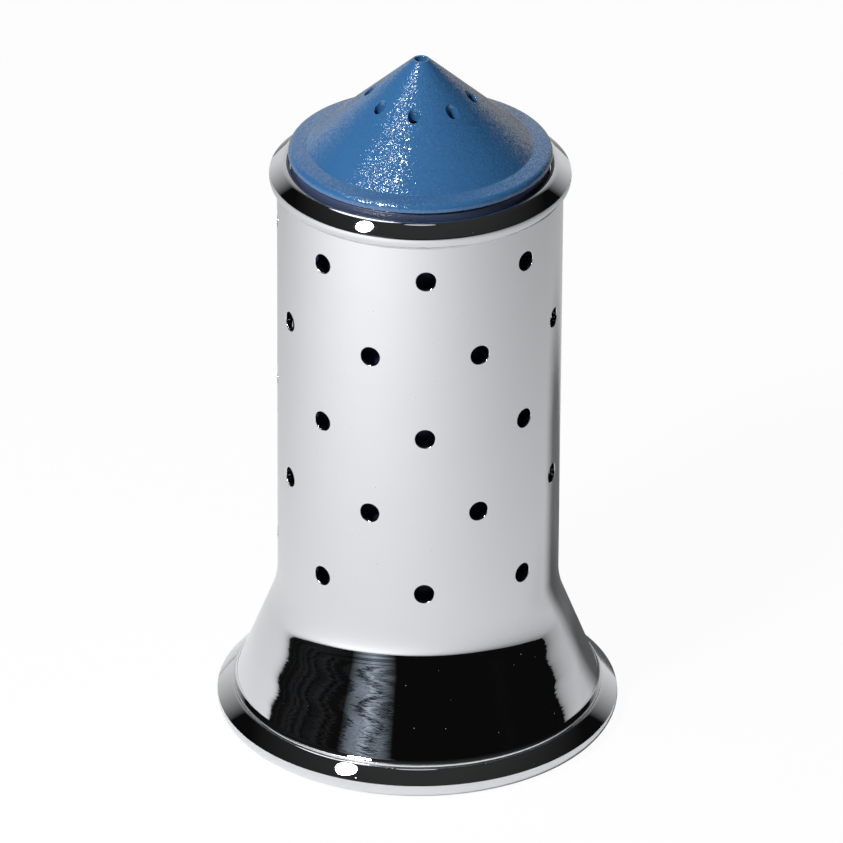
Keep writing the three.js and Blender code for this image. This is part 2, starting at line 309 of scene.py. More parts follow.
class Shell:
    """Collects grids of points and welds them into one closed mesh with exact normals.

    Attributes:
        WELD: Distance in metres within which points count as one.
        WELD_SHIFT: Shift of the weld's steps, in steps, which keeps them off round measures.
    """

    WELD = 1.0e-6
    WELD_SHIFT = 0.37

    def __init__(self) -> None:
        """Start with no grids."""
        self.grids: list[Grid] = []

    def add(self, points: np.ndarray, normals: np.ndarray) -> None:
        """Add a grid.

        Args:
            points: Points in millimetres, as rows by columns by three.
            normals: Outward unit normal at each point, in the same shape.
        """
        self.grids.append((points, np.broadcast_to(normals, points.shape)))

    def turn(self, profile: Profile, columns: int, start: float = 0.0) -> "Shell":
        """Turn a profile about the Z axis through even angles.

        Args:
            profile: The profile.
            columns: Number of steps round the axis.
            start: Angle of the first step, in radians.

        Returns:
            The shell itself.
        """
        for stretch in profile.stretches:
            self.add(*stretch.turned(start + np.linspace(0.0, FULL_TURN, columns + 1)))
        return self

    @staticmethod
    def faces(points: np.ndarray, normals: np.ndarray, first: int) -> np.ndarray:
        """Return a grid's quads, turned round where their corners run against the normals.

        Args:
            points: Points of the grid.
            normals: Normals of the grid.
            first: Number of the grid's first point.

        Returns:
            Four point numbers for each quad.
        """
        rows, columns = points.shape[:2]
        index = first + np.arange(rows * columns).reshape(rows, columns)
        quads = np.stack([index[:-1, :-1], index[:-1, 1:], index[1:, 1:], index[1:, :-1]], axis=-1)
        one = points[1:, 1:] - points[:-1, :-1]
        other = points[1:, :-1] - points[:-1, 1:]
        facing = np.sum(np.cross(one, other) * (normals[:-1, :-1] + normals[1:, 1:]))
        quads = quads.reshape(-1, 4)
        return quads if facing > 0.0 else quads[:, ::-1]

    def to_object(self, name: str) -> bpy.types.Object:
        """Weld the grids where their points coincide, and drop the sides that this closes up.

        Args:
            name: Name of the object.

        Returns:
            The object, at the origin, with its normals set from the surfaces.
        """
        quads, first = [], 0
        for points, normals in self.grids:
            quads.append(self.faces(points, normals, first))
            first += points.shape[0] * points.shape[1]
        corners = np.concatenate(quads)
        points = np.concatenate([grid.reshape(-1, 3) for grid, _ in self.grids]) * MILLIMETRE
        normals = np.concatenate([grid.reshape(-1, 3) for _, grid in self.grids])

        keys = np.floor(points / self.WELD + self.WELD_SHIFT).astype(np.int64)
        _, kept, welded = np.unique(keys, axis=0, return_index=True, return_inverse=True)
        shared = welded.reshape(-1)[corners]
        open_side = shared != np.roll(shared, 1, axis=1)
        whole = open_side.sum(axis=1) >= 3
        corners, shared, open_side = corners[whole], shared[whole], open_side[whole]
        totals = open_side.sum(axis=1)

        mesh = bpy.data.meshes.new(name)
        mesh.vertices.add(len(kept))
        mesh.vertices.foreach_set("co", points[kept].astype(np.float32).ravel())
        mesh.loops.add(int(totals.sum()))
        mesh.loops.foreach_set("vertex_index", shared[open_side].astype(np.int32))
        mesh.polygons.add(len(totals))
        starts = np.concatenate([[0], np.cumsum(totals)[:-1]]).astype(np.int32)
        mesh.polygons.foreach_set("loop_start", starts)
        mesh.polygons.foreach_set("use_smooth", np.ones(len(totals), bool))
        mesh.update(calc_edges=True)
        mesh.normals_split_custom_set(normals[corners[open_side]].astype(np.float32))
        return linked(name, mesh)


@dataclass(frozen=True)
class HoledCell:
    """A piece of wall round one straight round hole, with both faces and rounded lips.

    It is worked out in a frame of its own, whose third axis runs along the hole and outwards.

    Attributes:
        centre: Place of the hole's axis in the plane of the first two axes.
        radius: Radius of the hole.
        lip: Rounding of the hole's edges.
        outer_face: Height and normal of the outer face over points of the plane.
        inner_face: Height and normal of the inner face over points of the plane.
        outer_edge: Points of the plane round the cell's edge on the outer face.
        inner_edge: The matching points on the inner face.
        axes: The frame's three axes as rows.
        SHEET_ROWS: Steps across a face.
        LIP_ROWS: Steps across a lip.
        GROWTH: Power by which the steps across a face widen outwards.
    """

    centre: Point
    radius: float
    lip: float
    outer_face: Face
    inner_face: Face
    outer_edge: np.ndarray
    inner_edge: np.ndarray
    axes: np.ndarray

    SHEET_ROWS = 7
    LIP_ROWS = 4
    GROWTH = 1.6

    def spokes(self) -> np.ndarray:
        """Return the direction from the hole's axis to each point of the outer edge."""
        return unit(self.outer_edge - np.array(self.centre))

    def sheet(self, face: Face, edge: np.ndarray) -> Grid:
        """Spread a face from the lip to the cell's edge: a share of the way, finer near the hole.

        Args:
            face: Height and normal of the face.
            edge: Points of the plane round the cell's edge.

        Returns:
            Points and normals, from the lip outwards.
        """
        share = np.linspace(0.0, 1.0, self.SHEET_ROWS + 1)[:, None, None] ** self.GROWTH
        rim = np.array(self.centre) + (self.radius + self.lip) * self.spokes()
        plane = rim + (edge - rim) * share
        height, normal = face(plane)
        return np.concatenate([plane, height[..., None]], axis=-1), normal

    def lip_grid(self, face: Face, side: float) -> Grid:
        """Round a lip: a quarter turn from the face into the hole's wall.

        At a turn t the point lies lip times (1 - sin t) outside the hole and lip times
        (1 - cos t) below the face, and the normal swings from the face's to the wall's.

        Args:
            face: Height and normal of the face.
            side: One for the outer lip, minus one for the inner.

        Returns:
            Points and normals, from the face into the hole.
        """
        turn = np.linspace(0.0, FULL_TURN / 4.0, self.LIP_ROWS + 1)[:, None, None]
        spokes = self.spokes()
        plane = np.array(self.centre) + (self.radius + self.lip * (1.0 - np.sin(turn))) * spokes
        height, face_normal = face(plane)
        height = height[..., None] - side * self.lip * (1.0 - np.cos(turn))
        inward = np.concatenate([-spokes, np.zeros((len(spokes), 1))], axis=-1)
        normal = unit(np.cos(turn) * face_normal + np.sin(turn) * inward)
        return np.concatenate([plane, height], axis=-1), normal

    def add_to(self, shell: Shell) -> None:
        """Add the two faces, the two lips and the hole's wall to a shell.

        Args:
            shell: The shell to add to.
        """
        outer_lip = self.lip_grid(self.outer_face, 1.0)
        inner_lip = self.lip_grid(self.inner_face, -1.0)
        grids = [
            self.sheet(self.outer_face, self.outer_edge),
            outer_lip,
            tuple(np.stack([outer[-1], inner[-1]]) for outer, inner in zip(outer_lip, inner_lip)),
            inner_lip,
            self.sheet(self.inner_face, self.inner_edge),
        ]
        for points, normals in grids:
            shell.add(closed(points) @ self.axes, closed(normals) @ self.axes)


def box_edge(half_width: float, low: float, high: float, across: int, upward: int) -> np.ndarray:
    """Return even points round a rectangle, anticlockwise from its lower left corner.

    Args:
        half_width: Half of its width, about zero.
        low: Its lower edge.
        high: Its upper edge.
        across: Number of steps along the lower and upper edges.
        upward: Number of steps along the sides.

    Returns:
        Two columns, without repeating the first point.
    """
    width = np.linspace(-half_width, half_width, across + 1)
    height = np.linspace(low, high, upward + 1)
    lower, right = (width[:-1], low), (half_width, height[:-1])
    upper, left = (width[:0:-1], high), (-half_width, height[:0:-1])
    sides = (np.broadcast_arrays(*side) for side in (lower, right, upper, left))
    return np.concatenate([np.stack(side, axis=-1) for side in sides])


# Pieces


class Piece(ABC):
    """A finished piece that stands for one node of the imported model.

    Attributes:
        node: Name of the node.
        name: Name of the finished piece.
        slot: Material slot that it takes its finish from.
        body: Body that it rides on.
    """

    node: str
    name: str
    slot: Slot
    body: Body = Body.CASTOR

    @abstractmethod
    def shell(self) -> Shell:
        """Return the piece's surface."""

    def build(self) -> bpy.types.Object:
        """Make the mesh, put it in place of its node and let it ride on its body.

        Returns:
            The finished piece.
        """
        piece = self.shell().to_object(self.name)
        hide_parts(self.node)
        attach(piece, self.body.value)
        return piece

    def dress(self, piece: bpy.types.Object, material: bpy.types.Material) -> None:
        """Give the piece its finish.

        Args:
            piece: The finished piece.
            material: Its material.
        """
        piece.data.materials.append(material)
        points = np.empty(len(piece.data.vertices) * 3, np.float32)
        piece.data.vertices.foreach_get("co", points)
        points = points.reshape(-1, 3)
        low, high = (np.array(corner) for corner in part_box(self.node))
        proud = max(np.max(low - points.min(axis=0)), np.max(points.max(axis=0) - high), 0.0)
        LOG.info(
            "%s for %s: %d faces, at most %.3f mm outside the node's box",
            piece.name, self.node, len(piece.data.polygons), proud / MILLIMETRE,
        )


@dataclass
class Sleeve(Piece):
    """Drawn tube with a flared skirt and five staggered rows of perforations."""

    radius: float = 21.5
    wall: float = 0.8
    top: float = 90.05
    skirt_meet_height: float = 21.0
    skirt_angle: float = 21.7
    skirt_fillet: float = 17.0
    skirt_end_height: float = 2.2
    edge_rounding: float = 0.2
    hole_radius: float = 1.5
    hole_lip: float = 0.14
    hole_rows: int = 5
    holes_per_row: int = 8
    lowest_row_margin: float = 9.53
    highest_row_margin: float = 6.4
    hole_turn: float = 2.55
    plain_margin: float = 4.4
    cell_columns: int = 20
    cell_rows: int = 16

    node = "sleeve"
    name = "polished_sleeve"
    slot = Slot.POLISHED_STEEL

    @property
    def bore(self) -> float:
        """Inner radius of the tube."""
        return self.radius - self.wall

    @property
    def skirt_run(self) -> float:
        """Outward run of the skirt for each unit of drop."""
        return math.tan(math.radians(self.skirt_angle))

    @property
    def skirt_sheet(self) -> float:
        """Width of the skirt's sheet, measured level."""
        return self.wall / math.cos(math.radians(self.skirt_angle))

    @property
    def row_heights(self) -> np.ndarray:
        """Heights of the rows of perforations."""
        lowest = self.skirt_meet_height + self.lowest_row_margin
        return np.linspace(lowest, self.top - self.highest_row_margin, self.hole_rows)

    def skirt_radius_at(self, height: float) -> float:
        """Return the skirt's outer radius at a height, on its straight run."""
        return self.radius + self.skirt_run * (self.skirt_meet_height - height)

    def face(self, radius: float, side: float, plane: np.ndarray) -> Grid:
        """Lay a cylinder over the plane through its axis: the root of r squared less u squared.

        Args:
            radius: Radius of the cylinder.
            side: One for the outer face, minus one for the inner.
            plane: Points of the plane.

        Returns:
            Heights and normals over the points.
        """
        across = plane[..., 0]
        height = np.sqrt(radius**2 - across**2)
        normal = np.stack([across, np.zeros_like(across), height], axis=-1) / radius
        return height, side * normal

    def cell(self, row: int, turn: float) -> HoledCell:
        """Return the cell of wall round one perforation.

        Args:
            row: Number of its row, from the lowest.
            turn: Its direction from the front, in degrees.

        Returns:
            The cell.
        """
        heights = self.row_heights
        half_pitch = (heights[1] - heights[0]) / 2.0
        low = heights[row] - (self.plain_margin if row == 0 else half_pitch)
        high = heights[row] + (self.plain_margin if row == self.hole_rows - 1 else half_pitch)
        half_turn = math.pi / self.holes_per_row
        turns, rises = box_edge(half_turn, low, high, self.cell_columns, self.cell_rows).T
        outer_edge, inner_edge = (
            np.stack([radius * np.sin(turns), rises], axis=-1) for radius in (self.radius, self.bore)
        )
        return HoledCell(
            (0.0, float(heights[row])), self.hole_radius, self.hole_lip,
            partial(self.face, self.radius, 1.0), partial(self.face, self.bore, -1.0),
            outer_edge, inner_edge, np.array([beside(turn), UP, toward(turn)]),
        )

    def shell(self) -> Shell:
        """Make the perforated wall, the plain edge above it and the skirt below it.

        Returns:
            The surface.
        """
        shell = Shell()
        for row in range(self.hole_rows):
            for place in range(self.holes_per_row):
                pitches = place + (row % 2) / 2.0
                self.cell(row, self.hole_turn + pitches * 360.0 / self.holes_per_row).add_to(shell)
        low = float(self.row_heights[0]) - self.plain_margin
        high = float(self.row_heights[-1]) + self.plain_margin
        end_radius = self.skirt_radius_at(self.skirt_end_height)
        inner_meet = self.skirt_meet_height - (self.skirt_sheet - self.wall) / self.skirt_run
        skirt = Profile.rounded(
            (self.bore, low),
            (self.bore, inner_meet, self.skirt_fillet + self.wall),
            (end_radius - self.skirt_sheet, self.skirt_end_height),
            (end_radius, self.skirt_end_height),
            (self.radius, self.skirt_meet_height, self.skirt_fillet),
            (self.radius, low),
        )
        edge = Profile.rounded(
            (self.radius, high),
            (self.radius, self.top, self.edge_rounding),
            (self.bore, self.top, self.edge_rounding),
            (self.bore, high),
        )
        for profile in (skirt, edge):
            columns = self.cell_columns * self.holes_per_row
            shell.turn(profile, columns, front_angle(self.hole_turn))
        return shell


@dataclass
class BeadRing(Piece):
    """Ring of bead section: round below, with a crease outside and a slightly crowned slope above it.

    Attributes:
        sleeve: The sleeve that carries it.
        wire_radius: Radius of the round part of its section.
        crease_turn: Direction in which the round part ends at the sharp crease, in degrees above level.
        slope_length: Length of the slope.
        slope_turn: Direction that the middle of the slope faces, in degrees above level.
        slope_crown: Turn of the slope from its lower to its upper edge, in degrees.
        bend_radius: Radius of the bend above the slope.
        bend_turn: Direction in which the bend ends, in degrees above level.
        socket_gap: Gap beside the sleeve's sheet in the ring's socket.
    """

    sleeve: Sleeve
    wire_radius: float = 2.0
    crease_turn: float = 14.1
    slope_length: float = 2.15
    slope_turn: float = 50.25
    slope_crown: float = 5.6
    bend_radius: float = 1.5
    bend_turn: float = 80.0
    socket_gap: float = 0.1

    slot = Slot.POLISHED_STEEL

    @property
    def slope_runs(self) -> list[Point]:
        """The wire, the crowned slope and the bend as radius and end angle of joined arcs.

        The sharp crease between the first two is an arc of no radius, which only turns the direction.
        """
        low, high = self.slope_turn - self.slope_crown / 2.0, self.slope_turn + self.slope_crown / 2.0
        crown_radius = self.slope_length / math.radians(self.slope_crown)
        return [
            (self.wire_radius, self.crease_turn),
            (0.0, low),
            (crown_radius, high),
            (self.bend_radius, self.bend_turn),
        ]


@dataclass
class RimRing(BeadRing):
    """Ring over the sleeve's top edge, rounded over to the inside, with a seat for the collar."""

    inner_rounding: float = 0.65
    socket_depth: float = 1.2
    seat_depth: float = 0.85
    columns: int = 192

    node = "rim_ring"
    name = "rim_bead"

    @property
    def pitch_radius(self) -> float:
        """Radius of the circle that the wire's centre runs on."""
        return self.sleeve.bore

    @property
    def height(self) -> float:
        """Height of the wire's centre."""
        return self.sleeve.top - self.socket_depth + self.wire_radius

    @property
    def seat_height(self) -> float:
        """Height of the collar's seat."""
        return self.height + self.wire_radius - self.seat_depth

    @property
    def mouth_radius(self) -> float:
        """Radius of the ring's inner side, which the collar passes."""
        return self.draw_outside(Profile())[0]

    def angle_at(self, radius: float) -> float:
        """Return the angle at which the upper half of the wire's circle passes a radius."""
        return math.acos((radius - self.pitch_radius) / self.wire_radius)

    def draw_outside(self, profile: Profile) -> Point:
        """Add the section from the sleeve over the top to the inner side.

        Args:
            profile: The profile that it is added to.

        Returns:
            Its last point.
        """
        start = -math.degrees(self.angle_at(self.sleeve.radius + self.socket_gap))
        runs = [*self.slope_runs, (self.inner_rounding, 180.0)]
        return profile.arcs((self.pitch_radius, self.height), start, runs)

    def shell(self) -> Shell:
        """Make the bead with its socket below and its seat inside.

        Returns:
            The surface.
        """
        socket_outer = self.sleeve.radius + self.socket_gap
        socket_inner = self.sleeve.bore - self.socket_gap
        seat_angle = math.pi - math.asin((self.wire_radius - self.seat_depth) / self.wire_radius)
        seat_inner = self.pitch_radius + self.wire_radius * math.cos(seat_angle)
        outer_foot = self.height - self.wire_radius * math.sin(self.angle_at(socket_outer))
        inner_foot = self.height - self.wire_radius * math.sin(self.angle_at(socket_inner))
        profile = Profile()
        mouth = self.draw_outside(profile)
        profile.path(mouth, (mouth[0], self.seat_height), (seat_inner, self.seat_height))
        centre, end = (self.pitch_radius, self.height), FULL_TURN - self.angle_at(socket_inner)
        profile.arc(centre, self.wire_radius, seat_angle, end)
        profile.path(
            (socket_inner, inner_foot),
            (socket_inner, self.sleeve.top),
            (socket_outer, self.sleeve.top),
            (socket_outer, outer_foot),
        )
        return Shell().turn(profile, self.columns)


@dataclass
class FootRing(BeadRing):
    """Ring under the skirt, with a flat land, a grooved seam above and a recess for the base plate."""

    slope_length: float = 2.6
    slope_turn: float = 52.1
    bend_radius: float = 1.3
    bend_turn: float = 70.0
    inner_rounding: float = 0.3
    groove_turn: float = 100.0
    groove_radius: float = 28.23
    land_width: float = 1.25
    hem_radius: float = 0.05
    hem_width: float = 0.03
    hem_turn: float = 82.0
    hem_fillet: float = 0.15
    seam_gap: float = 0.02
    seam_radius: float = 1.6
    seam_turn: float = 51.7
    seam_height: float = 5.35
    lip_height: float = 1.2
    recess_depth: float = 0.37
    shoulder_width: float = 0.85
    columns: int = 224

    node = "foot_ring"
    name = "foot_bead"

    @property
    def pitch_radius(self) -> float:
        """Radius of the circle that the wire's centre runs on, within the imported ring's box."""
        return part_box(self.node)[1].x / MILLIMETRE - self.wire_radius

    @property
    def height(self) -> float:
        """Height of the wire's centre over its flat land."""
        return math.sqrt(self.wire_radius**2 - (self.land_width / 2.0) ** 2)

    @property
    def recess_radius(self) -> float:
        """Radius of the recess that takes the base plate."""
        return self.pitch_radius - self.wire_radius + self.recess_depth

    @property
    def shoulder_radius(self) -> float:
        """Inner radius of the shoulder over the base plate."""
        return self.recess_radius - self.shoulder_width

    def draw_seam(self, profile: Profile, groove_floor: float) -> Point:
        """Add the groove's inner side, the rolled hem above it and the flare up to the skirt.

        Args:
            profile: The profile that they are added to.
            groove_floor: Height of the groove's floor.

        Returns:
            Radius and height where the flare meets the skirt.
        """
        angles = np.radians([self.sleeve.skirt_angle, self.seam_turn, self.hem_turn])
        lean, turn, top = directions(angles)
        seam_end = self.sleeve.skirt_radius_at(self.seam_height) + self.seam_gap
        seam_top = np.array([seam_end, self.seam_height])
        seam_centre = seam_top + self.seam_radius * lean
        fillet_centre = seam_centre + (self.hem_fillet - self.seam_radius) * turn
        hem_start = fillet_centre - self.hem_fillet * top
        hem_end = hem_start + self.hem_width * np.array([top[1], -top[0]])
        hem_centre = hem_end - self.hem_radius * top
        hem_bottom = hem_centre[1] - self.hem_radius
        profile.path(
            (self.groove_radius, groove_floor),
            (self.groove_radius, hem_bottom),
            (hem_centre[0], hem_bottom),
        )
        profile.arc(hem_centre, self.hem_radius, -math.pi / 2.0, angles[2])
        profile.path(hem_end, hem_start)
        profile.arc(fillet_centre, self.hem_fillet, angles[2] + math.pi, angles[1] + math.pi)
        profile.arc(seam_centre, self.seam_radius, angles[1] + math.pi, angles[0] + math.pi)
        return seam_top

    def shell(self) -> Shell:
        """Make the bead with its seam and socket above, its shoulder inside and its land below.

        Returns:
            The surface.
        """
        centre = (self.pitch_radius, self.height)
        half_land = self.land_width / 2.0
        land_angle = math.acos(half_land / self.wire_radius)
        recess_angle = math.acos((self.recess_radius - self.pitch_radius) / self.wire_radius)
        recess_foot = self.height - self.wire_radius * math.sin(recess_angle)
        seat = self.sleeve.skirt_end_height
        lip_top = seat + self.lip_height
        inner_gap = self.sleeve.skirt_sheet + self.socket_gap
        profile = Profile()
        profile.arc(centre, self.wire_radius, -recess_angle, land_angle - math.pi)
        profile.path((self.pitch_radius - half_land, 0.0), (self.pitch_radius + half_land, 0.0))
        runs = [*self.slope_runs, (self.inner_rounding, self.groove_turn)]
        slope_end = profile.arcs(centre, -math.degrees(land_angle), runs)
        profile.path(slope_end, (self.groove_radius, slope_end[1]))
        profile.path(
            self.draw_seam(profile, slope_end[1]),
            (self.sleeve.skirt_radius_at(seat) + self.socket_gap, seat),
            (self.sleeve.skirt_radius_at(seat) - inner_gap, seat),
            (self.sleeve.skirt_radius_at(lip_top) - inner_gap, lip_top),
            (self.shoulder_radius, lip_top),
            (self.shoulder_radius, seat),
            (self.recess_radius, seat),
            (self.recess_radius, recess_foot),
        )
        return Shell().turn(profile, self.columns)


@dataclass
class SaltContainer(Piece):
    """Moulded cup that hangs in the rim ring by its collar, with a boss for the insert below."""

    rim: RimRing
    radius: float = 18.3
    wall: float = 1.4
    collar_gap: float = 0.12
    collar_thickness: float = 1.9
    collar_rounding: float = 0.35
    mouth_rounding: float = 0.5
    floor_top: float = 13.6
    floor_thickness: float = 1.6
    floor_fillet: float = 1.5
    foot_rounding: float = 1.0
    boss_radius: float = 6.0
    boss_bottom: float = 6.5
    boss_rounding: float = 0.3
    insert_hole_radius: float = 2.95
    insert_hole_top: float = 12.4
    columns: int = 128

    node = "salt_container"
    name = "container_cup"
    slot = Slot.BLACK_PLASTIC

    @property
    def mouth_radius(self) -> float:
        """Inner radius of the cup."""
        return self.radius - self.wall

    @property
    def collar_radius(self) -> float:
        """Outer radius of the collar."""
        return self.rim.mouth_radius - self.collar_gap

    @property
    def collar_top(self) -> float:
        """Height of the collar's upper face."""
        return self.rim.seat_height + self.collar_thickness

    def shell(self) -> Shell:
        """Make the cup, its collar and its boss.

        Returns:
            The surface.
        """
        seat = self.rim.seat_height
        floor_bottom = self.floor_top - self.floor_thickness
        return Shell().turn(Profile.rounded(
            (0.0, self.insert_hole_top),
            (self.insert_hole_radius, self.insert_hole_top),
            (self.insert_hole_radius, self.boss_bottom),
            (self.boss_radius, self.boss_bottom, self.boss_rounding),
            (self.boss_radius, floor_bottom, self.boss_rounding),
            (self.radius, floor_bottom, self.foot_rounding),
            (self.radius, seat),
            (self.collar_radius, seat, self.collar_rounding / 2.0),
            (self.collar_radius, self.collar_top, self.collar_rounding),
            (self.mouth_radius, self.collar_top, self.mouth_rounding),
            (self.mouth_radius, self.floor_top, self.floor_fillet),
            (0.0, self.floor_top),
        ), self.columns)


@dataclass
class SieveCap(Piece):
    """Hollow cone with a rounded flange, a grooved plug, a ring of salt holes and one at the tip."""

    container: SaltContainer
    overhang: float = 0.356
    seat_gap: float = 0.05
    relief: float = 0.15
    relief_width: float = 0.9
    flange_thickness: float = 1.3
    flange_rounding: float = 0.8
    flange_width: float = 2.85
    flange_rise: float = 0.31
    edge_rounding: float = 0.15
    crease_rounding: float = 0.3
    cone_angle: float = 42.2
    cone_wall: float = 1.6
    bore_rounding: float = 1.0
    tip_hole_radius: float = 0.9
    tip_land: float = 0.34
    tip_rounding: float = 0.12
    hole_radius: float = 0.9
    hole_lip: float = 0.07
    hole_count: int = 8
    hole_ring_radius: float = 7.6
    hole_turn: float = -7.4
    cell_reach: float = 2.2
    plug_gap: float = 0.15
    plug_length: float = 7.0
    plug_chamfer: float = 0.4
    groove_depth: float = 1.15
    wall_behind_seal: float = 1.0
    seal_inset: float = 3.3
    seal_gap: float = 0.08
    groove_spare: float = 0.15
    cell_columns: int = 24
    cell_rows: int = 14

    node = "cap"
    name = "sieve_cap"
    slot = Slot.BLUE_PLASTIC
    body = Body.CAP

    @property
    def radius(self) -> float:
        """Radius of the flange."""
        return self.container.collar_radius + self.overhang

    @property
    def seat(self) -> float:
        """Height of the ring that rests on the collar."""
        return self.container.collar_top + self.seat_gap

    @property
    def flange_bottom(self) -> float:
        """Height of the flange's relieved underside."""
        return self.seat + self.relief

    @property
    def crease_radius(self) -> float:
        """Radius at which the cone rises from the flange."""
        return self.radius - self.flange_width

    @property
    def crease_height(self) -> float:
        """Height at which the cone rises from the flange."""
        return self.flange_bottom + self.flange_thickness + self.flange_rise

    @property
    def slope(self) -> float:
        """Rise of the cone for each unit towards the axis."""
        return math.tan(math.radians(self.cone_angle))

    @property
    def wall_rise(self) -> float:
        """Thickness of the cone, measured upright."""
        return self.cone_wall / math.cos(math.radians(self.cone_angle))

    @property
    def plug_radius(self) -> float:
        """Outer radius of the plug."""
        return self.container.mouth_radius - self.plug_gap

    @property
    def plug_bottom(self) -> float:
        """Height of the plug's lower edge."""
        return self.seat - self.plug_length

    @property
    def groove_radius(self) -> float:
        """Radius of the groove's floor."""
        return self.plug_radius - self.groove_depth

    @property
    def seal_wire_radius(self) -> float:
        """Radius of the seal's section."""
        return (self.container.mouth_radius - self.groove_radius) / 2.0 - self.seal_gap

    @property
    def seal_height(self) -> float:
        """Height of the middle of the seal's groove."""
        return self.plug_bottom + self.seal_inset

    def cone_height_at(self, radius: Values) -> Values:
        """Return the cone's outer height at a radius."""
        return self.crease_height + (self.crease_radius - radius) * self.slope

    def face(self, drop: float, side: float, plane: np.ndarray) -> Grid:
        """Lay the cone over the level plane: it falls by the slope for each unit of radius.

        Args:
            drop: How far it lies under the outer face.
            side: One for the outer face, minus one for the inner.
            plane: Points of the plane.

        Returns:
            Heights and normals over the points.
        """
        radius = np.linalg.norm(plane, axis=-1, keepdims=True)
        height = self.cone_height_at(radius[..., 0]) - drop
        sloping = np.concatenate([self.slope * plane / radius, np.ones_like(radius)], axis=-1)
        return height, side * unit(sloping)

    def cell(self, turn: float) -> HoledCell:
        """Return the cell of cone round one salt hole.

        Args:
            turn: Its direction from the front, in degrees.

        Returns:
            The cell.
        """
        half_turn = math.pi / self.hole_count
        low, high = self.hole_ring_radius - self.cell_reach, self.hole_ring_radius + self.cell_reach
        edge = box_edge(half_turn, low, high, self.cell_columns, self.cell_rows)
        plane = edge[:, 1:] * directions(edge[:, 0])[:, ::-1]
        return HoledCell(
            (0.0, self.hole_ring_radius), self.hole_radius, self.hole_lip,
            partial(self.face, 0.0, 1.0), partial(self.face, self.wall_rise, -1.0),
            plane, plane, np.array([beside(turn), toward(turn), UP]),
        )

    def tip_profile(self) -> Profile:
        """Draw the cone above the salt holes, over the tip and down its inside.

        Returns:
            The profile.
        """
        above = self.hole_ring_radius - self.cell_reach
        tip_radius = self.tip_hole_radius + self.tip_land
        tip_height = self.cone_height_at(tip_radius)
        inner_height = self.cone_height_at(self.tip_hole_radius) - self.wall_rise
        return Profile.rounded(
            (above, self.cone_height_at(above)),
            (tip_radius, tip_height, self.tip_rounding),
            (self.tip_hole_radius, tip_height, self.tip_rounding),
            (self.tip_hole_radius, inner_height),
            (above, self.cone_height_at(above) - self.wall_rise),
        )

    def lower_profile(self) -> Profile:
        """Draw the inside below the salt holes, the plug, the flange and the cone above it.

        Returns:
            The profile.
        """
        below = self.hole_ring_radius + self.cell_reach
        bore = self.groove_radius - self.wall_behind_seal
        groove_half = self.seal_wire_radius + self.groove_spare
        relief_radius = self.radius - self.relief_width
        flange_fall = self.flange_rise / (self.flange_width - self.flange_rounding)
        flange_corner = self.flange_bottom + self.flange_thickness - self.flange_rounding * flange_fall
        return Profile.rounded(
            (below, self.cone_height_at(below) - self.wall_rise),
            (bore, self.cone_height_at(bore) - self.wall_rise, self.bore_rounding),
            (bore, self.plug_bottom, self.edge_rounding),
            (self.plug_radius - self.plug_chamfer, self.plug_bottom, self.edge_rounding),
            (self.plug_radius, self.plug_bottom + self.plug_chamfer, self.edge_rounding),
            (self.plug_radius, self.seal_height - groove_half, self.edge_rounding / 2.0),
            (self.groove_radius, self.seal_height - groove_half),
            (self.groove_radius, self.seal_height + groove_half),
            (self.plug_radius, self.seal_height + groove_half, self.edge_rounding / 2.0),
            (self.plug_radius, self.seat),
            (relief_radius, self.seat),
            (relief_radius, self.flange_bottom),
            (self.radius, self.flange_bottom, self.edge_rounding),
            (self.radius, flange_corner, self.flange_rounding),
            (self.crease_radius, self.crease_height, self.crease_rounding),
            (below, self.cone_height_at(below)),
        )

    def shell(self) -> Shell:
        """Make the cone with its salt holes, the tip, the flange and the plug.

        Returns:
            The surface.
        """
        shell = Shell()
        for place in range(self.hole_count):
            self.cell(self.hole_turn + place * 360.0 / self.hole_count).add_to(shell)
        for profile in (self.tip_profile(), self.lower_profile()):
            shell.turn(profile, self.cell_columns * self.hole_count, front_angle(self.hole_turn))
        return shell


@dataclass
class CapSeal(Piece):
    """Round-section ring between the plug's groove and the container."""

    cap: SieveCap
    columns: int = 128

    node = "cap_seal"
    name = "seal_ring"
    slot = Slot.SEAL_RUBBER
    body = Body.SEAL

    def shell(self) -> Shell:
        """Make the ring: a circle turned about the axis.

        Returns:
            The surface.
        """
        pitch = (self.cap.container.mouth_radius + self.cap.groove_radius) / 2.0
        profile = Profile()
        profile.arc((pitch, self.cap.seal_height), self.cap.seal_wire_radius, 0.0, FULL_TURN)
        return Shell().turn(profile, self.columns)


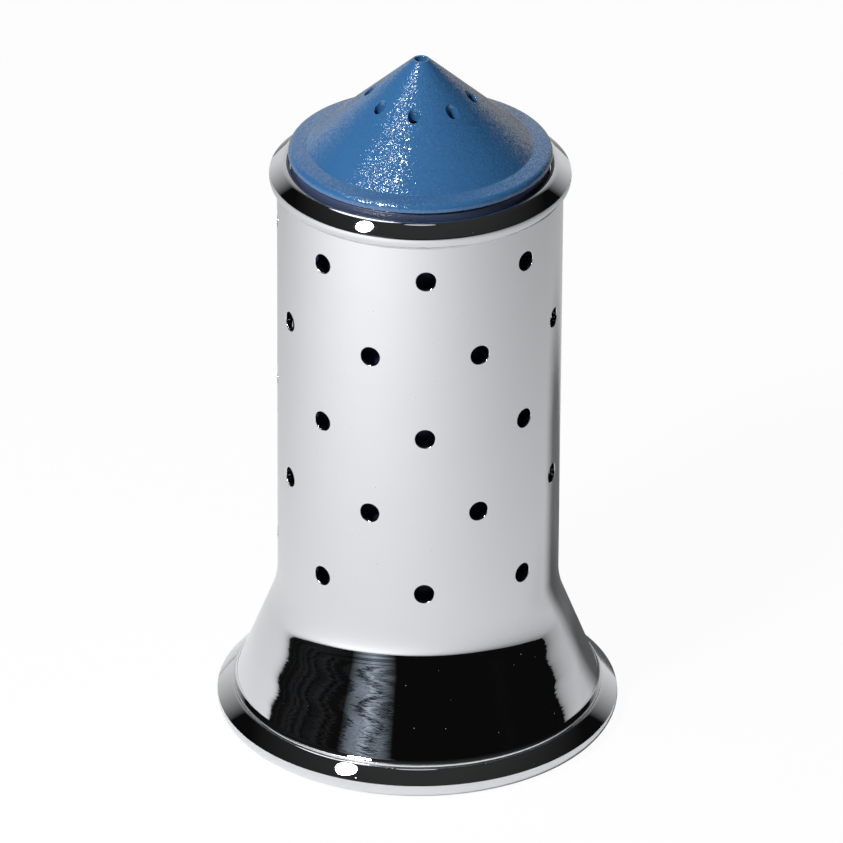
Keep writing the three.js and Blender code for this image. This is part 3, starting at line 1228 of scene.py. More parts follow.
@dataclass
class BasePlate(Piece):
    """Moulded disc in the foot ring, with a well for the screw, a hub for the boss and radial ribs."""

    foot: FootRing
    gap: float = 0.25
    bottom: float = 0.8
    top: float = 2.2
    rounding: float = 0.3
    well_radius: float = 5.4
    screw_hole_radius: float = 2.2
    screw_seat: float = 4.6
    hub_floor: float = 6.2
    hub_top: float = 8.2
    hub_bore: float = 6.2
    hub_radius: float = 7.8
    track_radius: float = 16.0
    track_width: float = 0.9
    track_depth: float = 0.25
    rib_count: int = 6
    rib_height: float = 2.4
    rib_end_gap: float = 2.0
    rib_places: tuple[float, ...] = (0.0, 0.25, 0.42, 0.52, 0.58, 0.62, 0.70, 0.90)
    rib_shares: tuple[float, ...] = (1.0, 1.0, 1.0, 0.975, 0.9, 0.1, 0.03, 0.0)
    end_places: tuple[float, ...] = (-0.3, -0.12, -0.04, 0.0, 0.08, 0.25)
    end_shares: tuple[float, ...] = (1.0, 0.97, 0.88, 0.1, 0.03, 0.0)
    fill_columns: int = 8
    rib_rows: int = 14

    node = "base_plate"
    name = "moulded_base"
    slot = Slot.BLACK_PLASTIC

    @property
    def rib_end(self) -> float:
        """Radius where the ribs end."""
        return self.foot.shoulder_radius - self.rib_end_gap

    def angles(self, radius: np.ndarray) -> np.ndarray:
        """Return the angles of the columns at each radius, closer together along the ribs.

        The columns beside a rib keep their distance from its middle plane, so their angle is the
        arc sine of that distance over the radius. The others share what is left of the sector.

        Args:
            radius: Radius of each row.

        Returns:
            Angles as rows by columns, the last one turn after the first.
        """
        half = math.pi / self.rib_count
        near = np.arcsin(np.array(self.rib_places) / radius[:, None])
        share = np.linspace(0.0, 1.0, self.fill_columns + 1)[1:]
        far = near[:, -1:] + (half - near[:, -1:]) * share
        one = np.concatenate([near, far], axis=1)
        sector = np.concatenate([-one[:, :0:-1], one[:, :-1]], axis=1)
        turns = 2.0 * half * np.arange(self.rib_count)
        every = (sector[:, None, :] + turns[:, None]).reshape(len(radius), -1)
        return np.concatenate([every, every[:, :1] + FULL_TURN], axis=1)

    def lift(self, radius: np.ndarray) -> np.ndarray:
        """Return the ribs' height over the plate: a share across each rib times one along it.

        Args:
            radius: Radius of each row.

        Returns:
            Heights as rows by columns.
        """
        one = np.append(self.rib_shares, np.zeros(self.fill_columns))
        sector = np.concatenate([one[:0:-1], one[:-1]])
        every = np.append(np.tile(sector, self.rib_count), sector[0])
        along = np.interp(radius - self.rib_end, self.end_places, self.end_shares)
        return self.rib_height * along[:, None] * every

    def profile(self, start: float) -> Profile:
        """Draw the hub, the well, the underside with its track and the outer edge.

        Args:
            start: Radius where the ribbed upper face starts.

        Returns:
            The profile, which ends there.
        """
        outer = self.foot.recess_radius - self.gap
        half_track = self.track_width / 2.0
        return Profile.rounded(
            (self.hub_radius, self.top),
            (self.hub_radius, self.hub_top, self.rounding),
            (self.hub_bore, self.hub_top, self.rounding),
            (self.hub_bore, self.hub_floor),
            (self.screw_hole_radius, self.hub_floor),
            (self.screw_hole_radius, self.screw_seat),
            (self.well_radius, self.screw_seat, self.rounding),
            (self.well_radius, self.bottom, self.rounding),
            (self.track_radius - half_track, self.bottom, self.track_depth / 2.0),
            (self.track_radius - half_track, self.bottom + self.track_depth),
            (self.track_radius + half_track, self.bottom + self.track_depth),
            (self.track_radius + half_track, self.bottom, self.track_depth / 2.0),
            (outer, self.bottom, self.rounding),
            (outer, self.top, self.rounding),
            (start, self.top),
        )

    def shell(self) -> Shell:
        """Make the ribbed upper face and the rest of the disc, turned on the same columns.

        Returns:
            The surface.
        """
        shell = Shell()
        start = self.foot.recess_radius - self.gap - 2.0 * self.rounding
        for number, stretch in enumerate(self.profile(start).stretches):
            radius = stretch.points[:, 0]
            points, normals = stretch.turned(self.angles(radius))
            if number == 0:
                points[0, :, 2] += self.lift(radius[:1])[0]
            shell.add(points, normals)
        end_rows = self.rib_end + np.array(self.end_places[:0:-1])
        inner_rows = np.linspace(self.rib_end + self.end_places[0], self.hub_radius, self.rib_rows)
        radius = np.concatenate([[start], end_rows, inner_rows])
        face = around(radius[:, None], self.angles(radius), self.top + self.lift(radius))
        shell.add(face, grid_normals(face, 1.0))
        return shell


@dataclass(frozen=True)
class Thread:
    """A screw thread with flat crests and roots, which climbs one pitch in each turn."""

    pitch: float = 0.7
    depth: float = 0.36
    steepness: float = 1.7

    def cut(self, angles: np.ndarray, height: np.ndarray) -> np.ndarray:
        """Return the full depth less a triangle wave of it, steepened and cut off at both ends.

        The wave runs on the height over the pitch less the angle over a full turn.

        Args:
            angles: Angles about the axis.
            height: Heights along the axis.

        Returns:
            The depth of the groove under the crest.
        """
        phase = np.mod(height / self.pitch - angles / FULL_TURN, 1.0)
        wave = (np.abs(2.0 * phase - 1.0) - 0.5) * self.steepness + 0.5
        return self.depth - self.depth * np.clip(wave, 0.0, 1.0)


@dataclass
class BaseScrew(Piece):
    """Screw with a chamfered head, a hexagon socket and a cut thread."""

    thread: Thread = Thread()
    head_radius: float = 3.75
    head_bottom: float = 1.4
    head_top: float = 3.8
    head_chamfer: float = 0.6
    edge_rounding: float = 0.12
    radius: float = 2.0
    tip: float = 11.4
    tip_chamfer: float = 0.45
    thread_start: float = 4.7
    thread_fade: float = 0.4
    socket_radius: float = 1.45
    socket_depth: float = 1.3
    socket_rim: float = 1.9
    sides: int = 6
    side_columns: int = 12
    rows: int = 110

    node = "base_screw"
    name = "centre_screw"
    slot = Slot.PLATED_STEEL

    def add_socket(self, shell: Shell, angles: np.ndarray) -> None:
        """Add the hexagon socket: its outline is the apothem over the cosine from a side's middle.

        Args:
            shell: The shell to add to.
            angles: Angles of the columns.
        """
        side = FULL_TURN / self.sides
        apothem = self.socket_radius * math.cos(side / 2.0)
        outline = apothem / np.cos(np.mod(angles, side) - side / 2.0)
        floor = self.head_bottom + self.socket_depth
        mouth = around(outline, angles, self.head_bottom)
        foot = around(outline, angles, floor)
        rim = around(self.socket_rim, angles, self.head_bottom)
        shell.add(np.stack([mouth, rim]), -np.array(UP))
        shell.add(np.stack([foot, np.zeros_like(foot) + [0.0, 0.0, floor]]), -np.array(UP))
        for number in range(self.sides):
            first = number * self.side_columns
            columns = slice(first, first + self.side_columns + 1)
            inward = -around(1.0, (number + 0.5) * side, 0.0)
            shell.add(np.stack([mouth[columns], foot[columns]]), inward)

    def shell(self) -> Shell:
        """Make the head, its socket, the threaded shank and its tip.

        Returns:
            The surface.
        """
        columns = self.sides * self.side_columns
        angles = np.linspace(0.0, FULL_TURN, columns + 1)
        shell = Shell().turn(Profile.rounded(
            (self.socket_rim, self.head_bottom),
            (self.head_radius - self.head_chamfer, self.head_bottom, self.edge_rounding),
            (self.head_radius, self.head_bottom + self.head_chamfer, self.edge_rounding),
            (self.head_radius, self.head_top, self.edge_rounding),
            (self.radius, self.head_top),
        ), columns)
        self.add_socket(shell, angles)
        height = np.linspace(self.head_top, self.tip, self.rows)[:, None]
        fade = np.clip((height - self.thread_start) / self.thread_fade, 0.0, 1.0)
        cut = fade * self.thread.cut(angles, height)
        chamfer = self.radius - self.tip_chamfer + (self.tip - height)
        shank = around(np.minimum(self.radius - cut, chamfer), angles, height)
        shell.add(shank, grid_normals(shank, 1.0))
        centre = np.zeros_like(shank[-1]) + [0.0, 0.0, self.tip]
        shell.add(np.stack([shank[-1], centre]), np.array(UP))
        return shell


@dataclass
class ScrewWasher(Piece):
    """Flat washer under the screw's head, with stamped, rounded edges."""

    bore: float = 2.1
    radius: float = 4.5
    bottom: float = 3.8
    top: float = 4.6
    rounding: float = 0.14
    columns: int = 96

    node = "screw_washer"
    name = "flat_washer"
    slot = Slot.PLATED_STEEL

    def shell(self) -> Shell:
        """Make the washer.

        Returns:
            The surface.
        """
        return Shell().turn(Profile.rounded(
            (self.bore, self.bottom, self.rounding),
            (self.radius, self.bottom, self.rounding),
            (self.radius, self.top, self.rounding),
            (self.bore, self.top, self.rounding),
            whole=True,
        ), self.columns)


@dataclass
class ThreadedInsert(Piece):
    """Brass insert with two knurled bands, a waist between them and a thread inside."""

    thread: Thread = Thread()
    radius: float = 2.85
    waist_radius: float = 2.45
    bore: float = 2.1
    bottom: float = 6.5
    top: float = 12.1
    waist_length: float = 1.4
    chamfer: float = 0.15
    knurl_depth: float = 0.14
    knurls: int = 32
    knurl_columns: int = 6
    rows: int = 80

    node = "threaded_insert"
    name = "knurled_insert"
    slot = Slot.INSERT_BRASS

    def shell(self) -> Shell:
        """Make the insert: its bands are cut by a cosine of the angle, its bore by the thread.

        Returns:
            The surface.
        """
        angles = np.linspace(0.0, FULL_TURN, self.knurls * self.knurl_columns + 1)
        middle, half = (self.bottom + self.top) / 2.0, self.waist_length / 2.0
        low = [self.bottom, self.bottom + self.chamfer, middle - half - self.chamfer, middle - half]
        sizes = [self.radius - self.chamfer, self.radius, self.radius, self.waist_radius]
        height = np.array(low + [2.0 * middle - place for place in reversed(low)])[:, None]
        size = np.array(sizes + sizes[::-1])[:, None]
        band = (size >= self.radius).astype(float)
        knurl = self.knurl_depth * band * (0.5 - 0.5 * np.cos(self.knurls * angles))
        outer = around(size - knurl, angles, height)
        rise = np.linspace(self.bottom, self.top, self.rows)[:, None]
        inner = around(self.bore + self.thread.cut(angles, rise) / 2.0, angles, rise)
        shell = Shell()
        for wall, side in ((outer, 1.0), (inner, -1.0)):
            shell.add(wall, grid_normals(wall, side))
        for row, side in ((0, -1.0), (-1, 1.0)):
            shell.add(np.stack([outer[row], inner[row]]), side * np.array(UP))
        return shell


# Finishes


class Graph:
    """Nodes of a material or of the world, in the castor's own coordinates.

    Attributes:
        MIDDLE: Range that holds most of a noise's values.
    """

    MIDDLE = (0.3, 0.7)

    def __init__(self, owner: bpy.types.Material | bpy.types.World) -> None:
        """Start from the nodes that a new material or world has.

        Args:
            owner: The material or the world.
        """
        owner.use_nodes = True
        self.owner = owner
        self.nodes = owner.node_tree.nodes
        self.links = owner.node_tree.links

    @cached_property
    def place(self) -> Socket:
        """Place on the castor, in metres."""
        return self.node("TexCoord", {}).outputs["Object"]

    @cached_property
    def upward(self) -> Socket:
        """Height over the table, in metres."""
        return self.along(UP)

    def feed(self, target: Socket, value: object) -> None:
        """Link a socket to an input, or set the input to a plain value.

        Args:
            target: The input.
            value: A socket or a plain value.
        """
        if isinstance(value, Socket):
            self.links.new(value, target)
        else:
            target.default_value = value

    def node(self, kind: str, inputs: dict[str | int, object], **settings: object) -> bpy.types.Node:
        """Add a node.

        Args:
            kind: Its type, without the words that all types of nodes start with.
            inputs: Values or sockets for its inputs by name or number.
            settings: Values for its own properties.

        Returns:
            The node.
        """
        node = self.nodes.new(f"ShaderNode{kind}")
        for key, value in settings.items():
            setattr(node, key, value)
        for key, value in inputs.items():
            self.feed(node.inputs[key], value)
        return node

    def surface(self, **values: object) -> None:
        """Set inputs of the shader, with underscores for the spaces of their names."""
        for key, value in values.items():
            self.feed(self.nodes["Principled BSDF"].inputs[key.replace("_", " ")], value)

    def emission(self, colour: object, strength: object) -> Socket:
        """Return a plain light of a colour and strength."""
        return self.node("Emission", {"Color": colour, "Strength": strength}).outputs[0]

    def finish(self, shader: Socket) -> None:
        """Make a shader the material's surface."""
        self.feed(self.nodes["Material Output"].inputs["Surface"], shader)

    def noise(self, length: Triple, detail: float = 2.0, distortion: float = 0.0) -> Socket:
        """Return a soft random value from 0 to 1.

        Args:
            length: Size of its patches along X, Y and Z, in millimetres.
            detail: Number of finer octaves.
            distortion: How much it is warped.

        Returns:
            The value.
        """
        scale = [1.0 / (size * MILLIMETRE) for size in length]
        place = self.node("Mapping", {"Vector": self.place, "Scale": scale}).outputs[0]
        inputs = {"Vector": place, "Scale": 1.0, "Detail": detail, "Distortion": distortion}
        return self.node("TexNoise", inputs).outputs["Fac"]

    def cells(self, size: float, output: str = "Distance") -> Socket:
        """Return the distance to the nearest of many scattered points, or another measure of it.

        Args:
            size: Spacing of the points, in millimetres.
            output: Name of the measure.

        Returns:
            The measure.
        """
        inputs = {"Vector": self.place, "Scale": 1.0 / (size * MILLIMETRE)}
        return self.node("TexVoronoi", inputs).outputs[output]

    def remap(self, value: Socket, start: Point, end: Point = (0.0, 1.0)) -> Socket:
        """Return a value stretched from one range to another and held inside it.

        Args:
            value: The value.
            start: Range that it comes from.
            end: Range that it goes to.

        Returns:
            The new value.
        """
        limits = dict(zip(("From Min", "From Max", "To Min", "To Max"), (*start, *end)))
        return self.node("MapRange", {"Value": value, **limits}).outputs["Result"]

    def blend(self, share: Socket, first: Triple, second: Triple) -> Socket:
        """Return a colour between two.

        Args:
            share: Share of the second.
            first: First colour.
            second: Second colour.

        Returns:
            The colour.
        """
        mix = self.node("Mix", {0: share}, data_type="RGBA")
        colours = [socket for socket in mix.inputs if socket.type == "RGBA"]
        for socket, colour in zip(colours, (first, second)):
            socket.default_value = (*colour, 1.0)
        return next(socket for socket in mix.outputs if socket.type == "RGBA")

    def math(self, operation: str, *values: object) -> Socket:
        """Return the result of an arithmetic operation on its values."""
        return self.node("Math", dict(enumerate(values)), operation=operation).outputs[0]

    def vector(self, operation: str, *values: object) -> bpy.types.Node:
        """Return the node of an operation on vectors."""
        return self.node("VectorMath", dict(enumerate(values)), operation=operation)

    def along(self, direction: Triple) -> Socket:
        """Return how far a place lies along a direction, in metres."""
        return self.vector("DOT_PRODUCT", self.place, direction).outputs["Value"]

    def bump(
        self, height: Socket, depth: float, strength: object = 1.0, under: Socket | None = None
    ) -> Socket:
        """Return a normal tilted by a height.

        Args:
            height: The height, from 0 to 1.
            depth: What a height of 1 measures, in millimetres.
            strength: Share of the tilt that is used.
            under: A normal that is tilted already.

        Returns:
            The normal.
        """
        inputs = {"Height": height, "Distance": depth * MILLIMETRE, "Strength": strength}
        if under is not None:
            inputs["Normal"] = under
        return self.node("Bump", inputs).outputs["Normal"]

    def facets(self, size: float, lean: float, under: Socket) -> Socket:
        """Return a normal that leans its own random way in each of many small cells.

        Each cell's random colour, less a half, times twice the lean, is added to the normal.

        Args:
            size: Spacing of the cells, in millimetres.
            lean: Greatest lean along each axis, as a share of the normal's length.
            under: The normal that is tilted.

        Returns:
            The normal.
        """
        way = self.vector("SUBTRACT", self.cells(size, "Color"), (0.5, 0.5, 0.5)).outputs[0]
        leant = self.vector("MULTIPLY_ADD", way, (2.0 * lean,) * 3, under).outputs[0]
        return self.vector("NORMALIZE", leant).outputs[0]

    def stain(self, patches: Socket, dark: Triple, light: Triple, roughness: Point) -> None:
        """Vary the shader's colour and roughness with soft patches.

        Args:
            patches: A soft random value.
            dark: Colour where it is low.
            light: Colour where it is high.
            roughness: Range of the roughness.
        """
        self.surface(Base_Color=self.blend(patches, dark, light))
        self.surface(Roughness=self.remap(patches, self.MIDDLE, roughness))


@dataclass(frozen=True)
class Finish(ABC):
    """A finish that a piece is dressed in.

    Attributes:
        light: Lighter shade of its colour.
        dark: Darker shade of its colour.
        roughness: Range of its roughness.
    """

    light: Triple
    dark: Triple
    roughness: Point

    @abstractmethod
    def paint(self, graph: Graph) -> None:
        """Add the finish's nodes to a new material."""

    def material(self, name: str) -> bpy.types.Material:
        """Return the finish as a material.

        Args:
            name: Name of the material.

        Returns:
            The material.
        """
        graph = Graph(bpy.data.materials.new(name))
        self.paint(graph)
        return graph.owner


@dataclass(frozen=True)
class PolishedSteel(Finish):
    """Mirror-polished stainless steel, with the waves of its forming, fine scratches and dust.

    Lengths are along X, Y and Z.

    Attributes:
        cloud_length: Size of the clouds in its polish.
        cloud_range: Range of the clouds that changes the roughness.
        wave_length: Length of the waves.
        wave_depth: Depth of the waves.
        spin_pitch: Height of one of the waves that spinning left round the skirt.
        spin_peak: Height where such a wave leans back the most.
        spin_depth: Half depth of these waves.
        spin_lean: How far the skirt leans back between them, in degrees.
        line_length: Length of the scratches.
        line_depth: Depth of the scratches.
        line_warp: How much the scratches are warped.
        line_top: Height above which spun waves and scratches have been polished away.
        line_fade: Height over which they fade.
        seams: Lowest and highest heights of the seams that the polishing wheel doesn't reach.
        seam_edge: Height over which a seam starts or ends.
        seam_roughness: Roughness there.
        dust_spacing: Spacing of the dust.
        dust_size: Size of a speck, as a share of the spacing.
        dust_roughness: Roughness of a speck.
    """

    light: Triple = (0.762, 0.777, 0.80)
    dark: Triple = (0.737, 0.752, 0.775)
    roughness: Point = (0.012, 0.03)
    cloud_length: Triple = (18.0, 18.0, 9.0)
    cloud_range: Point = (0.35, 0.7)
    wave_length: Triple = (70.0, 70.0, 4.5)
    wave_depth: float = 0.03
    spin_pitch: float = 5.1
    spin_peak: float = 12.2
    spin_depth: float = 0.0045
    spin_lean: float = 0.75
    line_length: Triple = (2.4, 2.4, 0.5)
    line_depth: float = 0.003
    line_warp: float = 0.6
    line_top: float = 19.0
    line_fade: float = 2.0
    seams: tuple[Point, ...] = ((4.13, 4.16), (4.61, 4.7), (92.92, 93.1))
    seam_edge: float = 0.02
    seam_roughness: float = 0.2
    dust_spacing: float = 2.4
    dust_size: Point = (0.03, 0.05)
    dust_roughness: float = 0.4

    def spun_height(self, graph: Graph) -> Socket:
        """Return the height of the spun waves: minus a sine of the height, less the lean.

        Args:
            graph: The material.

        Returns:
            The height, in half depths.
        """
        pace = FULL_TURN / (self.spin_pitch * MILLIMETRE)
        shift = math.pi - pace * self.spin_peak * MILLIMETRE
        wave = graph.math("SINE", graph.math("MULTIPLY_ADD", graph.upward, pace, shift))
        fall = -math.tan(math.radians(self.spin_lean)) / (self.spin_depth * MILLIMETRE)
        return graph.math("MULTIPLY_ADD", graph.upward, fall, wave)

    def above(self, graph: Graph, height: float, values: Point) -> Socket:
        """Return a value that changes where a seam starts or ends.

        Args:
            graph: The material.
            height: Height of the start or end.
            values: The value below it and above it.

        Returns:
            The value.
        """
        reach = (height * MILLIMETRE, (height + self.seam_edge) * MILLIMETRE)
        return graph.remap(graph.upward, reach, values)

    def seam_share(self, graph: Graph) -> Socket:
        """Return one in the seams and zero elsewhere: the sum over them of start times end.

        Args:
            graph: The material.

        Returns:
            The value.
        """
        total = None
        for low, high in self.seams:
            started, lasting = self.above(graph, low, (0.0, 1.0)), self.above(graph, high, (1.0, 0.0))
            both = graph.math("MULTIPLY", started, lasting)
            total = both if total is None else graph.math("ADD", total, both)
        return total

    def paint(self, graph: Graph) -> None:
        """Add the steel's nodes to a new material.

        Args:
            graph: The material.
        """
        fade = (self.line_top * MILLIMETRE, (self.line_top - self.line_fade) * MILLIMETRE)
        low = graph.remap(graph.upward, fade)
        cloud = graph.noise(self.cloud_length, detail=4.0)
        polish = graph.remap(cloud, self.cloud_range, self.roughness)
        dust = graph.remap(graph.cells(self.dust_spacing), self.dust_size, (self.dust_roughness, 0.0))
        seams = graph.math("MULTIPLY", self.seam_share(graph), self.seam_roughness)
        waves = graph.bump(graph.noise(self.wave_length, detail=1.5), self.wave_depth)
        spun = graph.bump(self.spun_height(graph), self.spin_depth, low, waves)
        lines = graph.noise(self.line_length, distortion=self.line_warp)
        graph.surface(
            Base_Color=graph.blend(cloud, self.dark, self.light),
            Metallic=1.0,
            Roughness=graph.math("MAXIMUM", graph.math("MAXIMUM", polish, dust), seams),
            Normal=graph.bump(lines, self.line_depth, low, spun),
        )


@dataclass(frozen=True)
class GrainedPlastic(Finish):
    """Moulded plastic with the fine grain of a spark-eroded mould.

    Attributes:
        grain_size: Size of a grain.
        grain_depth: Depth of a grain.
        grain_lean: Greatest lean of a grain's own facet, as a share of the normal's length.
        shine: The shader's level of specular reflection.
        pit_spacing: Spacing of the pits between the grains, in grains.
        patch_length: Size of the patches in its colour and roughness.
    """

    grain_size: float
    grain_depth: float
    grain_lean: float
    shine: float
    pit_spacing: float = 1.7
    patch_length: float = 9.0

    def paint(self, graph: Graph) -> None:
        """Add the plastic's nodes to a new material.

        Args:
            graph: The material.
        """
        patches = graph.noise((self.patch_length,) * 3, detail=5.0)
        graph.stain(patches, self.dark, self.light, self.roughness)
        pits = graph.bump(graph.cells(self.grain_size * self.pit_spacing), self.grain_depth / 2.0)
        rough = graph.bump(graph.noise((self.grain_size,) * 3), self.grain_depth, 1.0, pits)
        graph.surface(Normal=graph.facets(self.grain_size, self.grain_lean, rough))
        graph.surface(Specular_IOR_Level=self.shine)


@dataclass(frozen=True)
class TurnedMetal(Finish):
    """Metal with the fine rings that a lathe leaves.

    Attributes:
        ring_width: Width of a ring.
        ring_depth: Depth of a ring.
        ring_warp: How much the rings are warped.
        stain_length: Size of its stains.
    """

    ring_width: float = 0.35
    ring_depth: float = 0.006
    ring_warp: float = 1.5
    stain_length: float = 2.0

    def paint(self, graph: Graph) -> None:
        """Add the metal's nodes to a new material.

        Args:
            graph: The material.
        """
        scale = 1.0 / (self.ring_width * MILLIMETRE)
        inputs = {"Vector": graph.place, "Scale": scale, "Distortion": self.ring_warp}
        rings = graph.node("TexWave", inputs, wave_type="RINGS", rings_direction="Z").outputs["Fac"]
        stain = graph.noise((self.stain_length,) * 3, detail=4.0)
        graph.stain(stain, self.dark, self.light, self.roughness)
        graph.surface(Metallic=1.0, Normal=graph.bump(rings, self.ring_depth))


@dataclass(frozen=True)
class SoftRubber(Finish):
    """Matt black rubber with a faint bloom.

    Attributes:
        bloom_length: Size of the patches of bloom.
        skin_size: Size of the unevenness of its skin.
        skin_depth: Depth of this unevenness.
    """

    light: Triple = (0.014, 0.014, 0.015)
    dark: Triple = (0.006, 0.006, 0.006)
    roughness: Point = (0.5, 0.7)
    bloom_length: float = 1.5
    skin_size: float = 0.12
    skin_depth: float = 0.006

    def paint(self, graph: Graph) -> None:
        """Add the rubber's nodes to a new material.

        Args:
            graph: The material.
        """
        bloom = graph.noise((self.bloom_length,) * 3, detail=4.0)
        graph.stain(bloom, self.dark, self.light, self.roughness)
        graph.surface(Normal=graph.bump(graph.noise((self.skin_size,) * 3), self.skin_depth))


# Studio


@dataclass(frozen=True)
class Lamp:
    """A round soft lamp that faces the castor.

    Attributes:
        name: Name of the lamp.
        turn: Its direction from the front towards +X, in degrees.
        elevation: Its height over the table, in degrees.
        distance: Its distance.
        width: Its width.
        power: Its power in watts.
    """

    name: str
    turn: float
    elevation: float
    distance: float
    width: float
    power: float

    def build(self) -> None:
        """Hang the lamp so that it faces the foot of the castor's axis."""
        back = np.array(toward(self.turn, self.elevation))
        side = unit(np.cross(UP, back))
        data = bpy.data.lights.new(self.name, "AREA")
        data.shape = "DISK"
        data.size = self.width
        data.energy = self.power
        lamp = linked(self.name, data)
        lamp.matrix_world = placing((side, np.cross(back, side), back), self.distance * back)


@dataclass(frozen=True)
class Panel:
    """A dim panel on the wall of the room, which only reflections see.

    Attributes:
        turn: Its direction from the front towards +X, in degrees.
        half_width: Half its width, in degrees.
        light: Its brightness.
    """

    turn: float
    half_width: float
    light: float


@dataclass(frozen=True)
class Studio:
    """A white table under a main lamp and a small soft box, in a dark room with a pale wall behind.

    Reaches, the panels' front and their top are where a part of the room starts and is full, as
    shares of its radius. Light without another unit is the brightness of a surface.

    Attributes:
        table_rings: Radii of the table's inner rings of corners.
        table_columns: Number of its corners round each ring.
        table_colours: Its darker and lighter shade.
        table_patch: Size of the patches of these shades, in millimetres.
        camera_white: Share of plain white that the camera sees in the table.
        mirror_white: Share of plain white that reflections see in the table.
        fill: Light from all round that reaches the castor.
        room_rows: Number of steps from the room's floor to its ceiling.
        room_columns: Number of steps round it.
        wall_reach: Reach of the pale wall behind.
        room_light: Brightness of the rest of the room.
        panels: The dim panels in front.
        panel_edge: Width of their soft edges, as a share of half their width.
        panel_grain: Size of the shades in them along X, Y and Z, in millimetres.
        panel_streaks: Range of the noise that gives these shades.
        panel_shades: Least and greatest share of the brightness in these shades.
        panel_colour: Colour of their light.
        panel_tint: Range of brightness over which this colour takes over from white.
        high_turn: Direction of a light high up behind, in degrees from the front.
        high_elevation: Its elevation, in degrees.
        high_reach: How far from its middle it starts and is full, in degrees.
    """

    lamps: tuple[Lamp, ...] = (
        Lamp("main_lamp", -41.0, 47.0, 0.6, 0.12, 3.4),
        Lamp("soft_box", -70.0, 65.0, 1.0, 0.137, 0.8),
    )
    table_radius: float = 0.75
    table_rings: tuple[float, ...] = (0.3, 0.1, 0.0005)
    table_columns: int = 96
    table_colours: Point = (0.86, 0.87)
    table_patch: float = 60.0
    table_roughness: float = 0.6
    camera_white: float = 0.96
    mirror_white: float = 0.03
    fill: float = 0.08
    room_radius: float = 2.6
    room_rows: int = 32
    room_columns: int = 64
    wall_reach: Point = (0.58, 0.9)
    wall_light: float = 0.72
    ceiling_reach: Point = (0.5, 0.95)
    ceiling_light: float = 0.035
    room_light: float = 0.004
    panels: tuple[Panel, ...] = (
        Panel(-32.1, 8.3, 0.27), Panel(-75.0, 24.0, 0.012), Panel(60.0, 15.0, 0.003),
    )
    panel_edge: float = 1.0
    panel_front: float = 0.1
    panel_grain: Triple = (5000.0, 5000.0, 24.0)
    panel_streaks: Point = (0.4, 0.6)
    panel_shades: Point = (0.0, 2.1)
    panel_top: Point = (0.605, 0.495)
    panel_colour: Triple = (0.87, 1.0, 1.17)
    panel_tint: Point = (0.0, 0.05)
    high_turn: float = -144.5
    high_elevation: float = 64.5
    high_light: float = 2.2
    high_reach: Point = (11.0, 8.0)

    def reach(self, shares: Point) -> Point:
        """Return two shares of the room's radius, in metres."""
        return tuple(share * self.room_radius for share in shares)

    def build_world(self) -> None:
        """Make the background white where rays see it and a soft fill where it only lights.

        It is white for camera, glossy and transmission rays.
        """
        world = bpy.data.worlds.new("white_background")
        graph = Graph(world)
        path = graph.node("LightPath", {})
        seen = path.outputs["Is Camera Ray"]
        for name in ("Is Glossy Ray", "Is Transmission Ray"):
            seen = graph.math("MAXIMUM", seen, path.outputs[name])
        background = graph.nodes["Background"]
        graph.feed(background.inputs["Color"], (*WHITE, 1.0))
        graph.feed(background.inputs["Strength"], graph.remap(seen, (0.0, 1.0), (self.fill, 1.0)))
        bpy.context.scene.world = world

    def grid(self, name: str, rows: np.ndarray, columns: int) -> bpy.types.Object:
        """Turn rows of radius and height about the Z axis, without a closed volume.

        Args:
            name: Name of the object.
            rows: Radius and height of each row, in metres.
            columns: Number of steps round the axis.

        Returns:
            The object.
        """
        angles = np.linspace(0.0, FULL_TURN, columns, endpoint=False)
        points = around(rows[:, :1], angles, rows[:, 1:])
        index = np.arange(len(rows) * columns).reshape(len(rows), columns)
        ahead = np.roll(index, -1, axis=1)
        quads = np.stack([index[:-1], ahead[:-1], ahead[1:], index[1:]], axis=-1).reshape(-1, 4)
        mesh = bpy.data.meshes.new(name)
        mesh.from_pydata(points.reshape(-1, 3), [], quads.tolist())
        stage = linked(name, mesh)
        return stage

    def build_table(self) -> None:
        """Make the pale round table, which keeps the castor's shadow."""
        radii = np.array([self.table_radius, *self.table_rings])
        rows = np.stack([radii, np.zeros_like(radii)], axis=-1)
        table = self.grid("table", rows, self.table_columns)
        graph = Graph(bpy.data.materials.new("pale_table"))
        low, high = ((shade,) * 3 for shade in self.table_colours)
        patches = graph.noise((self.table_patch,) * 3)
        graph.surface(
            Base_Color=graph.blend(patches, low, high),
            Roughness=self.table_roughness,
            Specular_IOR_Level=0.0,
        )
        path = graph.node("LightPath", {})
        camera, mirror = (
            graph.remap(path.outputs[f"Is {kind} Ray"], (0.0, 1.0), (0.0, white))
            for kind, white in (("Camera", self.camera_white), ("Glossy", self.mirror_white))
        )
        graph.finish(graph.node("MixShader", {
            0: graph.math("ADD", camera, mirror),
            1: graph.nodes["Principled BSDF"].outputs[0],
            2: graph.emission((*WHITE, 1.0), 1.0),
        }).outputs[0])
        table.data.materials.append(graph.owner)

    def panel_glow(self, graph: Graph, panel: Panel) -> Socket:
        """Return the brightness of a dim panel.

        Args:
            graph: The material of the room.
            panel: The panel.

        Returns:
            The brightness in it, and none outside it.
        """
        edge = self.room_radius * math.sin(math.radians(panel.half_width))
        across, ahead = graph.along(beside(panel.turn)), graph.along(toward(panel.turn))
        outline = ((1.0 + self.panel_edge) * edge, (1.0 - self.panel_edge) * edge)
        inside = graph.remap(graph.math("ABSOLUTE", across), outline)
        front = graph.remap(ahead, self.reach((0.0, self.panel_front)))
        low = graph.remap(graph.upward, self.reach(self.panel_top), (0.0, panel.light))
        return graph.math("MULTIPLY", graph.math("MULTIPLY", inside, front), low)

